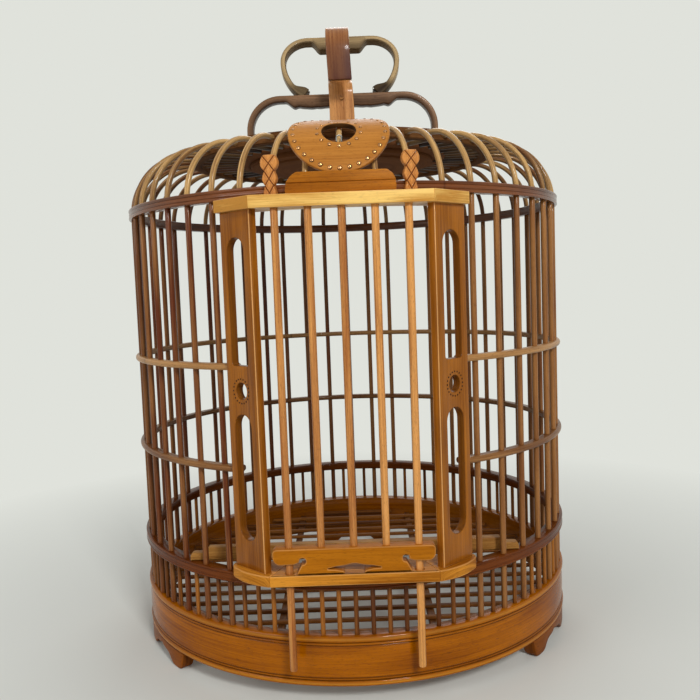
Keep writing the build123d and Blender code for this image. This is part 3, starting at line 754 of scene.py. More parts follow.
def sweep(
    surface: Surface,
    path: Array,
    side: Array,
    section: Array,
    tone: float = 0.5,
    painted_shade_and_highlight: Array | float = 0.0,
    edge: float = 0.3,
) -> None:
    """Carry a closed section along a flat path and close its ends with a small rounding.

    Args:
        surface: what to add to.
        path: points (n, 3) in one plane.
        side: unit vector square to that plane.
        section: (m, 2) or (n, m, 2): first along the path's normal, which is side cross tangent, then
            along side.
        tone: the shade of this piece.
        painted_shade_and_highlight: painted shade, or below nought painted highlight, one value, one for each
            point of the section (m,), for each row (n, 1) or for each place (n, m).
        edge: length and depth of the rounding at each end.
    """
    sections = np.broadcast_to(section, (len(path),) + section.shape[-2:]) if section.ndim == 2 else section
    sections = np.broadcast_to(sections, (len(path),) + sections.shape[1:])
    tangent = np.gradient(path, axis=0)
    tangent /= np.linalg.norm(tangent, axis=1, keepdims=True)
    reach = float(np.abs(sections[0]).max())
    keep = 1 - edge / reach
    shrink = np.array([0.0, keep, keep + (1 - keep) * 0.7])
    shift = np.array([0.0, 0.0, 0.3 * edge])
    head = path[0] + tangent[0] * shift[:, None]
    tail = (path[-1] - tangent[-1] * shift[:, None])[::-1]
    body = path.copy()
    body[0] = path[0] + tangent[0] * edge
    body[-1] = path[-1] - tangent[-1] * edge
    line = np.concatenate([head, body, tail])
    aims = np.concatenate([np.repeat(tangent[:1], 3, axis=0), tangent, np.repeat(tangent[-1:], 3, axis=0)])
    first = sections[:1] * shrink[:, None, None]
    last = (sections[-1:] * shrink[:, None, None])[::-1]
    shapes = np.concatenate([first, sections, last])
    normal = np.cross(side, aims)
    points = line[:, None] + shapes[..., :1] * normal[:, None] + shapes[..., 1:] * side
    along = lengths(line, False)
    across = lengths(sections[len(sections) // 2], True)
    dark = np.broadcast_to(painted_shade_and_highlight, sections.shape[:2])
    dark = np.concatenate([np.repeat(dark[:1], 3, axis=0), dark, np.repeat(dark[-1:], 3, axis=0)])
    surface.grid(points, stacked(along[:, None], across[None, :]), tone, dark)


def turned(points: Array, angle: float) -> Array:
    """Turn points about the cage's axis, from the gate's middle towards +X."""
    spin = np.array([[cos(angle), -sin(angle), 0], [sin(angle), cos(angle), 0], [0, 0, 1]])
    return points @ spin.T


def plane(origin: Sequence[float], x_axis: Sequence[float], z_axis: Sequence[float]) -> Matrix:
    """A plane's own axes: x, z cross x, and z, at an origin."""
    x_aim, z_aim = Vector(x_axis).normalized(), Vector(z_axis).normalized()
    y_aim = z_aim.cross(x_aim)
    place = Matrix((x_aim, y_aim, z_aim)).transposed().to_4x4()
    place.translation = Vector(origin)
    return place


@dataclass
class Dresser:
    """Makes each finish once and turns surfaces into riding pieces."""

    finishes: dict[str, bpy.types.Material] = field(default_factory=dict)

    def finish(self, finish: Bamboo | Metal) -> bpy.types.Material:
        """The finish's material, made at its first use."""
        if finish.name not in self.finishes:
            self.finishes[finish.name] = finish.material()
        return self.finishes[finish.name]

    def piece(
        self,
        name: str,
        surface: Surface,
        finish: Bamboo | Metal,
        replaces: Iterable[str] = (),
        body: Body = Body.CAGE,
    ) -> bpy.types.Object:
        """Make one piece, dress it and let it ride on its body.

        Args:
            name: of the piece.
            surface: its shape.
            finish: its finish.
            replaces: the solids that it stands for.
            body: what it rides on.

        Returns:
            The piece's object.
        """
        made = surface.object(name)
        made.data.materials.append(self.finish(finish))
        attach(made, body.value)
        if replaces:
            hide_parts(*replaces)
        log.info("%s: %d faces on %s", name, len(made.data.polygons), body.value)
        return made

    def tone(self) -> float:
        """A shade for one bar or board."""
        return float(RANDOM.uniform(0.0, 1.0))


@dataclass(frozen=True)
class Band:
    """A turned band with fine grooves: its node and finish, radii, heights and shade."""

    name: str
    node: str
    slot: str
    finish: Bamboo
    inner: float
    outer: float
    low: float
    top: float
    grooves: Row
    tone: float = 0.5
    painted_shade: float = 0.0
    inner_face_shade_gain: float = 1.0

    edge: ClassVar[float] = 0.9
    inner_edge: ClassVar[float] = 0.8
    crown: ClassVar[float] = 0.12
    groove_depth: ClassVar[float] = 0.42
    groove_width: ClassVar[float] = 0.28

    def profile(self) -> Array:
        """The section: an outer face with a slight wave and bell-shaped grooves, and rounded edges."""
        height = np.linspace(self.low + self.edge, self.top - self.edge, 41)
        turn = (height - self.low) / (self.top - self.low) * 2 * pi
        face = np.full_like(height, self.outer) + self.crown * np.cos(turn)
        for groove in self.grooves:
            face -= self.groove_depth * bell(height - groove, self.groove_width)
        front = np.column_stack([face - self.crown, height])
        corners = [(self.outer, self.top, self.edge), (self.inner, self.top, self.inner_edge)]
        corners += [(self.inner, self.low, self.inner_edge), (self.outer, self.low, self.edge)]
        return np.concatenate([front, rounded(corners, 4)[1:-1]])

    def build(self, dresser: Dresser) -> None:
        """Turn the band about the cage's axis."""
        surface = Surface()
        profile = self.profile()
        # Painted shade all over the band, and more on its inner face.
        painted_shade_and_highlight = self.painted_shade + self.inner_face_shade_gain * inside(profile)
        revolve(surface, profile, ring_angles(), True, self.tone, painted_shade_and_highlight)
        dresser.piece(self.name, surface, self.finish, [self.node])


@dataclass
class Rings:
    """The bent rings and hoops, the hub's discs and the feet."""

    base_low: float = 13.0
    base_top: float = 45.0
    base_face: float = 164.35
    base_inner: float = 155.6
    base_edge: float = 1.0
    base_crown: float = 0.35
    base_beads: Triples = (
        (0.0, 3.7, 1.0), (3.9, 5.2, 0.4), (26.2, 27.8, 0.45), (28.1, 32.0, 1.0),
    )
    base_crests: Pair = (1.85, 30.4)
    base_grooves: Row = (3.8, 5.4, 26.0, 27.95)
    groove_depth: float = 0.4
    groove_width: float = 0.22
    # Painted shade in the grooves and painted highlight on the bead crests: gain and width of each.
    groove_shade: Pair = (0.75, 0.5)
    crest_highlight: Pair = (0.3, 0.8)
    foot_turns: tuple[tuple[str, float], ...] = (("foot_right", 60), ("foot_back", 180), ("foot_left", 300))
    foot_half: float = 36.6
    foot_middle: float = 160.2
    foot_thickness: float = 9.2
    foot_edge: float = 0.9
    foot_bend: float = 165.0
    foot_overlap: float = 0.02
    foot_places: Row = (0, 2, 5, 8, 11, 14, 17, 19.5, 22, 24, 30, 32, 33.6, 35, 36, 36.6)
    foot_rises: Row = (8.8, 7.9, 7.0, 6.6, 6.4, 5.7, 3.6, 1.3, 0.2, 0, 0, 0.5, 1.8, 4.4, 7.6, 10.8)
    waist: Band = Band(
        "waist_band", "waist_ring", "waist_bamboo", WAIST_LACQUER, 156.1, 165.7, 75.0, 82.0, (76.6, 80.4),
    )
    hoops: tuple[tuple[str, float, float], ...] = (("lower_hoop", 149.1, 0.1), ("upper_hoop", 213.8, 0.9))
    hoop_circle: float = 161.95
    hoop_thickness: float = 8.1
    hoop_height: float = 4.2
    hoop_edge: float = 1.9
    gate_line: float = -76.27
    top: Band = Band(
        "top_band", "top_ring", "dark_bamboo", RING_DARK, 157.6, 165.3, 316.0, 323.0, (318.2, 320.8),
    )
    # The crown band gets painted shade all over, as well as part of the inner-face shade.
    crown: Band = Band(
        "crown_band", "crown_ring", "dark_bamboo", CROWN_DARK, 108.1, 116.3, 357.5, 364.5, (361.0,),
        tone=0.4, painted_shade=0.35, inner_face_shade_gain=0.6,
    )
    hub_span: float = 12.0
    hub_upper: Triples = (
        (0.01, 359.0, 0), (81.8, 359.0, 1.2), (81.8, 365.0, 1.6), (79.0, 365.0, 0.3), (78.4, 364.6, 0.2),
        (77.8, 365.0, 0.3), (0.01, 365.0, 0),
    )
    hub_lower: Triples = (
        (0.01, 354.0, 0), (61.8, 354.0, 0.7), (61.8, 355.5, 0.3), (70.5, 355.6, 1.0), (71.8, 357.0, 1.2),
        (71.8, 359.0, 0.2), (0.01, 359.0, 0),
    )

    def base_profile(self) -> Array:
        """The base band: a broad and a fine bead along each edge, grooves beside them, and a crowned face.

        Returns:
            Radius and height round the section. A bead stands out by its depth times the root of one less the
            square of the share of its half height; the face is crowned by a small parabola.
        """
        height = np.linspace(self.base_low, self.base_top, 129)
        outer = np.full_like(height, self.base_face)
        low, top = (self.base_low + groove for groove in self.base_grooves[1:3])
        share = (height - (low + top) / 2) / ((top - low) / 2)
        outer += np.where(np.abs(share) < 1, self.base_crown * (1 - share**2), 0)
        for low, top, out in self.base_beads:
            share = (height - self.base_low - (low + top) / 2) / ((top - low) / 2)
            outer += np.where(np.abs(share) <= 1, out * np.sqrt(np.clip(1 - share**2, 0, 1)), 0)
        for groove in self.base_grooves:
            outer -= self.groove_depth * bell(height - self.base_low - groove, self.groove_width)
        corner = np.array([(1.0, 0.0), (0.3, 0.3), (0.0, 1.0)]) * self.base_edge
        back = np.array([self.base_inner, self.base_top]) + corner * np.array([1.0, -1.0])
        low_back = np.array([self.base_inner, self.base_low]) + corner[::-1]
        return np.concatenate([np.column_stack([outer, height]), back, low_back])

    def base_shade_and_highlight(self, profile: Array) -> Array:
        """Painted shade in the base band's grooves and a painted highlight on the crest of its broad beads,
        for each point.
        """
        rise = profile[:, 1] - self.base_low
        groove = np.abs(rise[:, None] - np.array(self.base_grooves)).min(axis=1)
        crest = np.abs(rise[:, None] - np.array(self.base_crests)).min(axis=1)
        painted_shade, reach = self.groove_shade
        highlight_gain, width = self.crest_highlight
        outside = profile[:, 0] > (self.base_inner + self.base_face) / 2
        return outside * (painted_shade * bell(groove, reach) - highlight_gain * bell(crest, width))

    def hoop(self, surface: Surface, middle: float, tone: float) -> None:
        """One hoop, rounded outside, its ends cut along the backs of the gate's posts.

        Args:
            surface: what to add to.
            middle: its height.
            tone: its shade.

        The end of each strand of the section stands where its circle meets the post's back, the line on which
        x plus y is constant: sin(a) - cos(a) = line / r.
        """
        section = box_section(self.hoop_thickness / 2, self.hoop_height / 2, self.hoop_edge, 5)[0]
        section = section + np.array([self.hoop_circle, middle])
        ratio = self.gate_line / section[:, 0] / sqrt(2)
        start = np.arcsin(np.clip(ratio, -1, 1)) + pi / 4
        share = np.linspace(0, 1, 181)[:, None]
        angles = start + (2 * pi - 2 * start) * share
        revolve(surface, section, angles, False, tone, inside(section))

    def foot(self, surface: Surface, middle: float) -> None:
        """One bracket foot: round toes, a brow and a pointed arch, bent to the base ring.

        Args:
            surface: what to add to.
            middle: angle of its middle.

        The underside's height over the ground is a smoothed line through a few measured points, and the
        section at each place is a rounded box from there to the base ring.
        """
        run = np.linspace(-self.foot_half, self.foot_half, 147)
        under = softened(np.interp(np.abs(run), self.foot_places, self.foot_rises))
        under[np.abs(run) < 0.3] = self.foot_rises[0]
        top = self.base_low + self.foot_overlap
        section = box_section(self.foot_thickness / 2, (top - under) / 2, self.foot_edge, 4)
        shift = np.stack([np.full_like(under, self.foot_middle), (top + under) / 2], axis=-1)
        revolve(surface, section + shift[:, None], middle + run / self.foot_bend, False, painted_shade_and_highlight=0.1)

    def build(self, dresser: Dresser) -> None:
        """Make every ring, the feet and the hub's two discs."""
        surface = Surface()
        profile = self.base_profile()
        revolve(surface, profile, ring_angles(), True, 0.5, inside(profile) + self.base_shade_and_highlight(profile))
        dresser.piece("base_band", surface, BASE_LACQUER, ["base_ring"])
        for name, turn in self.foot_turns:
            surface = Surface()
            self.foot(surface, radians(turn))
            dresser.piece(f"{name}_bracket", surface, FOOT_LACQUER, [name])
        self.waist.build(dresser)
        for name, middle, tone in self.hoops:
            surface = Surface()
            self.hoop(surface, middle, tone)
            dresser.piece(f"{name}_band", surface, HOOP_TAN, [name])
        self.top.build(dresser)
        self.crown.build(dresser)
        for name, corners, node in (("top", self.hub_upper, "upper"), ("base", self.hub_lower, "lower")):
            surface = Surface()
            revolve(surface, divided(rounded(corners, 5), self.hub_span), ring_angles(160), True)
            dresser.piece(f"hub_{name}", surface, HUB_DARK, [f"hub_{node}_disc"])


@dataclass
class Bars:
    """The wall's bars, the shoulder ribs and the floor."""

    circle: float = 161.5
    places: int = 48
    gate_places: int = 3
    long_radius: float = 2.0
    long_heights: Pair = (45.0, 316.0)
    # The left half of the wall's bars gets a lower tone: painted shade.
    long_side_light: Pair = (0.5, 0.05)
    long_spread: float = 0.4
    short_radius: float = 1.5
    short_heights: Pair = (45.0, 75.0)
    swell: float = 0.012
    swell_pace: float = 0.05
    swell_shift: float = 30.0
    # Painted shade on the side of each bar and rib towards the cage's inside.
    bar_shade_gain: float = 0.5
    rib_radius: float = 1.9
    rib_foot: float = 322.6
    rib_spread: float = 0.45
    # Ribs towards the gate are lighter, those at the back darker: painted light and shade.
    rib_front_light: float = 0.5
    rib_shadow: float = 1.1
    bend_radius: float = 41.0
    bend_base: float = 320.0
    hub_radius: float = 81.6
    shadow_start: float = 128.0
    shadow_run: float = 24.0
    floor_radius: float = 154.7
    floor_top: float = 34.0
    strip_reach: int = 8
    strip_half: float = 2.25
    strip_thickness: float = 2.5
    strip_edge: float = 0.8
    strip_fall: float = 0.25
    strip_pitch: float = 18.5
    batten_x: float = 52.0
    batten_middle: float = 29.0
    batten_half: float = 2.5
    batten_edge: float = 0.5
    round_sides: ClassVar[int] = 12

    def placed(self, place: float, line: Array) -> tuple[Array, Array]:
        """Carry a line of radii and heights to one of the wall's places.

        Args:
            place: number of the place, from the gate's middle towards +X.
            line: radius and height of each point.

        Returns:
            The path, and the unit vector square to its plane.
        """
        angle = radians(place * 360 / self.places)
        path = np.column_stack([np.zeros(len(line)), -line[:, 0], line[:, 1]])
        return turned(path, angle), turned(X_AIM, angle)

    def upright(
        self, surface: Surface, place: float, radius: float, heights: Pair, tone: float
    ) -> None:
        """One round bar: a circle carried up, its thickness swelling and shrinking by a hundredth or two."""
        rise = np.linspace(*heights, 9)
        swell = 1 + self.swell * np.sin(rise * self.swell_pace + tone * self.swell_shift)
        section = circle(radius, self.round_sides)[None] * swell[:, None, None]
        path, side = self.placed(place, np.column_stack([np.full(9, self.circle), rise]))
        sweep(surface, path, side, section, tone, self.bar_inner_shade(), 0.2)

    def bar_inner_shade(self) -> Array:
        """Painted shade round a bar: none on its outer side, most on the side towards the cage's inside."""
        return self.bar_shade_gain * smooth(0.35 - circle(1.0, self.round_sides)[:, 0])

    def build(self, dresser: Dresser) -> None:
        """Make the bars, the ribs and the floor."""
        surface = Surface()
        long_places = range(self.gate_places + 1, self.places - self.gate_places)
        for place in long_places:
            tone = self.long_spread * dresser.tone() + self.long_side_light[place >= self.places / 2]
            self.upright(surface, place, self.long_radius, self.long_heights, tone)
        dresser.piece("wall_bars", surface, BAR_BROWN, ["long_bars"])
        surface = Surface()
        for half in range(2 * self.places):
            if half % 2 == 1 or half // 2 not in long_places:
                self.upright(surface, half / 2, self.short_radius, self.short_heights, dresser.tone())
        dresser.piece("band_bars", surface, BAND_BAR_BROWN, ["short_bars"])
        self.ribs(dresser)
        self.floor(dresser)

    def ribs(self, dresser: Dresser) -> None:
        """The shoulder ribs: a straight foot, a quarter circle and a level run in to the hub."""
        surface = Surface()
        centre = self.circle - self.bend_radius
        bend = arc(centre, self.bend_base, self.bend_radius, np.linspace(0, pi / 2, 19))
        level = np.full(6, self.bend_base + self.bend_radius)
        level = np.column_stack([np.linspace(centre - 6, self.hub_radius, 6), level])
        line = np.concatenate([[[self.circle, self.rib_foot]], bend[2:], level])
        shadow = self.rib_shadow * smooth((self.shadow_start - line[:, 0]) / self.shadow_run)
        painted_shade_and_highlight = np.maximum(shadow[:, None], self.bar_inner_shade())
        for place in range(self.places):
            path, side = self.placed(place, line)
            # A higher tone towards the front: painted light, with painted shade at the back.
            front = max(cos(radians(place * 360 / self.places)), 0.0)
            tone = self.rib_spread * dresser.tone() + self.rib_front_light * front
            sweep(surface, path, side, circle(self.rib_radius, self.round_sides), tone, painted_shade_and_highlight, 0.2)
        dresser.piece("ribs", surface, RIB_TAN, ["shoulder_ribs"])

    def floor(self, dresser: Dresser) -> None:
        """Split strips across two battens, with rounded edges and the round side up."""
        surface = Surface()
        thick = self.strip_thickness / 2
        for index in range(-self.strip_reach, self.strip_reach + 1):
            y = index * self.strip_pitch
            half = sqrt(self.floor_radius**2 - (abs(y) + self.strip_half) ** 2)
            height = np.full(7, self.floor_top - thick)
            path = np.column_stack([np.linspace(-half, half, 7), np.full(7, y), height])
            section = box_section(thick, self.strip_half, self.strip_edge)[0]
            section[:, 0] -= self.strip_fall * (section[:, 1] / self.strip_half) ** 2 * (section[:, 0] > 0)
            sweep(surface, path, Y_AIM, -section, dresser.tone(), 0.1)
        dresser.piece("floor_slats", surface, FLOOR_PLAIN, ["floor_strips"])
        surface = Surface()
        half = sqrt(self.floor_radius**2 - (self.batten_x + self.batten_half) ** 2)
        height = np.full(7, self.batten_middle)
        for side in (-1, 1):
            path = np.column_stack([np.full(7, side * self.batten_x), np.linspace(-half, half, 7), height])
            section = box_section(self.batten_half, self.batten_half, self.batten_edge)[0]
            sweep(surface, path, X_AIM, section, dresser.tone(), 0.3)
        dresser.piece("floor_beams", surface, FLOOR_PLAIN, ["floor_battens"])


@dataclass(frozen=True)
class Cranked:
    """A cranked board of three mitred lengths: the front and a wing each side, lying on the ring behind.

    It has the ring's inner radius, its underside and top, how far its front corners stand inside the posts'
    own line, how far a wing's front edge bulges, the rounding of the wings' far corners and of its edges,
    which of the door's bars pass it, and the shades of the front, the left wing and the right wing.
    """

    ring: float
    low: float
    top: float
    inset: float
    bulge: float
    end_radius: float
    edge: float
    bars: tuple[int, ...]
    tones: tuple[float, float, float]


@dataclass
class Gate:
    """Sill, lintel, posts, threshold and the lifting door."""

    front_y: float = -175.4
    post_x: float = 54.4
    post_y: float = -171.4
    post_width: float = 28.8
    post_height: float = 219.5
    post_thickness: float = 5.6
    post_edge: float = 0.7
    # The left post has the lower tone: painted shade.
    post_side_light: Pair = (0.55, 0.35)
    # Painted highlight along each post's front corner, and painted shade on the walls of its slots and hole.
    post_edge_highlight: float = 0.9
    post_slot_light: float = -0.45
    post_overhang: float = 2.8
    wing_reach: Pair = (4.8, -0.8)
    wing_bulge_share: float = 0.62
    slot_middle: float = 15.0
    slot_half: float = 8.0
    slot_round: float = 7.99
    slots: Triples = ((126.5, 203.7, 2.2), (18.0, 96.5, 7.99))
    hole_height: float = 111.0
    hole_radius: float = 5.2
    mark_count: int = 20
    mark_circle: float = 7.5
    mark_radius: float = 0.62
    mark_thickness: float = 0.3
    mark_rise: float = 0.06
    mark_edge: float = 0.05
    # The sill's left wing has the higher tone: a painted highlight.
    sill: Cranked = Cranked(156.1, 82.0, 89.0, 2.9, 3.4, 9.0, 0.9, (-2, 2), (0.5, 0.7, 0.35))
    lintel: Cranked = Cranked(157.7, 308.5, 316.0, 0.0, 0.0, 1.0, 0.45, (-2, -1, 0, 1, 2), (0.7, -0.7, 0.1))
    # Painted highlight along the edges of the sill and lintel, in part standing for worn edges.
    wing_edge_highlight: float = 0.35
    threshold_y: float = -122.0
    threshold_thickness: float = 7.0
    threshold_edge: float = 0.6
    threshold_right: Triples = ((110, 0, 0.3), (110, 5, 2.4), (98, 5, 0.6), (98, 8.5, 0.8))
    bar_y: float = -170.4
    bar_spacing: float = 19.75
    bar_radius: float = 2.3
    bar_hole: float = 2.6
    bar_drop: float = 61.4
    bar_sunk: float = 0.5
    bar_gap: float = 0.1
    board_low: float = 89.2
    board_thickness: float = 9.0
    board_height: float = 15.8
    board_edge: float = 0.8
    # Painted highlight along the door board's edges, in part standing for worn edges.
    board_edge_highlight: float = 0.3
    board_ear: Triples = ((36.4, 6.5, 1.5), (49.2, 6.0, 5.6), (49.2, 15.8, 2.4))
    board_wing: Triples = (
        (1.3, 6.0, 0.6), (5.6, 5.0, 1.8), (11.0, 4.4, 2.0), (18.0, 2.9, 0.3), (11.6, 2.6, 1.2),
        (7.0, 1.7, 1.4), (5.2, 0.0, 0.5), (35.0, 0.0, 0.5),
    )
    eye_middle: Pair = (31.2, 8.2)
    eye_radius: float = 2.1
    eye_ends: Pair = (-75, -375)

    def cranked(self, surface: Surface, board: Cranked) -> None:
        """Make the three lengths of a cranked board.

        Args:
            surface: what to add to.
            board: its sizes.

        A mitre runs from the front corner along the corner's bisector to the ring: its length t solves
        |corner + t aim| = ring. A wing's front edge bulges as a parabola.
        """
        wing_line = self.post_x - self.post_y + self.post_overhang * sqrt(2)
        corner = np.array([wing_line + self.front_y - board.inset, self.front_y])
        post_end = self.post_width + np.array(self.wing_reach)
        end = np.array([self.post_x, self.post_y]) + sqrt(0.5) * post_end
        aim = np.array([-sin(pi / 8), cos(pi / 8)])
        half = float(corner @ aim)
        meet = corner + aim * (-half - sqrt(half**2 - float(corner @ corner) + board.ring**2))
        rear, mitre = atan2(end[1], end[0]), atan2(meet[1], meet[0])
        corners = [(-corner[0], corner[1], 0.3), (corner[0], corner[1], 0.3)]
        corners += square(arc(0, 0, board.ring, np.linspace(mitre, -pi - mitre, 25)))
        front = rounded(corners, 3)
        share = np.linspace(0, self.wing_bulge_share, 8)[:, None]
        out = np.array([end[1] - corner[1], corner[0] - end[0]]) / np.linalg.norm(end - corner)
        edge = corner + (end - corner) * share + out * 4 * board.bulge * share * (1 - share)
        corners = square(edge) + [(end[0], end[1], board.end_radius)]
        corners += square(arc(0, 0, board.ring, np.linspace(rear, mitre, 14)))
        wing = rounded(corners, 8)
        fibres = atan2(end[1] - corner[1], end[0] - corner[0])
        holes = [circle(self.bar_hole, 24, index * self.bar_spacing, self.bar_y) for index in board.bars]
        place = plane((0, 0, board.top), X_AIM, Z_AIM)
        thickness = board.top - board.low
        parts = (([front, *holes], 0.0), ([wing * MIRROR], -fibres), ([wing], fibres))
        for (loops, turn), tone in zip(parts, board.tones):
            surface.plate(place, loops, thickness, board.edge, turn, tone, self.wing_edge_highlight)

    def sill_and_lintel(self, dresser: Dresser) -> None:
        """The two cranked boards, with round holes where the door's bars pass."""
        boards = (("sill", self.sill, SILL_GOLD), ("lintel", self.lintel, LINTEL_GOLD))
        for name, board, finish in boards:
            surface = Surface()
            self.cranked(surface, board)
            dresser.piece(name, surface, finish, [f"gate_{name}"])

    def slot(self, low: float, top: float, foot: float) -> Array:
        """A post's slot, round at the top, its lower corners rounded by the foot's radius."""
        left, right = self.slot_middle - self.slot_half, self.slot_middle + self.slot_half
        head = self.slot_round
        return rounded([(left, low, foot), (right, low, foot), (right, top, head), (left, top, head)], 12)

    def posts(self, dresser: Dresser) -> None:
        """The two planks at 45 degrees, with their slots, round hole and ring of punched marks."""
        width, height = self.post_width, self.post_height
        outline = np.array([(0, 0), (width, 0), (width, height), (0, height)], dtype=float)
        hole = circle(self.hole_radius, 32, self.slot_middle, self.hole_height)
        loops = [outline, *(self.slot(*slot) for slot in self.slots), hole]
        marks = arc(self.slot_middle, self.hole_height, self.mark_circle, around(self.mark_count))
        front = plane((self.post_x, self.post_y, self.sill.top), (1, 1, 0), (1, -1, 0))
        for name, side, tone in zip(("right", "left"), (1, -1), self.post_side_light):
            place = Matrix.Diagonal((side, 1, 1, 1)) @ front
            surface = Surface()
            # Painted highlight on the front corner, painted shade in the slots and hole.
            surface.plate(
                place, loops, self.post_thickness, self.post_edge, pi / 2, tone,
                edge_highlight=self.post_edge_highlight, highlight_side=(-1.0, 0.0), hole_wall_light=self.post_slot_light,
            )
            dresser.piece(f"post_{name}", surface, POST_HONEY, [f"gate_post_{name}"])
            surface = Surface()
            lifted = place @ Matrix.Translation((0, 0, self.mark_rise))
            for x, y in marks:
                mark = circle(self.mark_radius, 7, x, y)
                surface.plate(lifted, [mark], self.mark_thickness, self.mark_edge)
            dresser.piece(f"punch_marks_{name}", surface, PUNCH_DARK)

    def threshold(self, dresser: Dresser) -> None:
        """The board across the inside, its ends stepped down on to the waist ring."""
        outline = rounded(both_sides(self.threshold_right), 5)
        surface = Surface()
        place = plane((0, self.threshold_y, self.sill.low), X_AIM, -Y_AIM)
        surface.plate(place, [outline], self.threshold_thickness, self.threshold_edge, tone=0.4)
        dresser.piece("threshold", surface, THRESHOLD_TAN, ["threshold_board"])

    def board_outline(self) -> Array:
        """The door board: raised round ears, two eyes with slanting slits and a winged opening between them.

        Returns:
            The outline (n, 2), from the middle outwards along the foot, over the right ear and top, and back.
            An eye is most of a circle, entered from the slit below and left towards the ear.
        """
        eye = arc(*self.eye_middle, self.eye_radius, np.radians(np.linspace(*self.eye_ends, 22)))
        return rounded(both_sides([*self.board_wing, *square(eye), *self.board_ear]), 6)

    def door(self, dresser: Dresser) -> None:
        """The door's board and its five round bars."""
        surface = Surface()
        thickness = self.board_thickness
        front = plane((0, self.bar_y - thickness / 2, self.board_low), X_AIM, -Y_AIM)
        surface.plate(front, [self.board_outline()], thickness, self.board_edge, edge_highlight=self.board_edge_highlight)
        dresser.piece("door_rail", surface, BOARD_HONEY, ["door_board"], Body.DOOR)
        surface = Surface()
        for index in range(-2, 3):
            low = self.board_low + self.board_height - self.bar_sunk
            if abs(index) == 2:
                low = self.sill.top - self.bar_drop
            heights = np.linspace(low, self.lintel.top - self.bar_gap, 12)
            path = np.column_stack([np.full(12, index * self.bar_spacing), np.full(12, self.bar_y), heights])
            sweep(surface, path, X_AIM, circle(self.bar_radius, 20), dresser.tone(), 0.0, 0.5)
        dresser.piece("door_rods", surface, DOOR_BAR_TAN, ["door_bars"], Body.DOOR)

    def build(self, dresser: Dresser) -> None:
        """Make the gate and its door."""
        self.sill_and_lintel(dresser)
        self.posts(dresser)
        self.threshold(dresser)
        self.door(dresser)


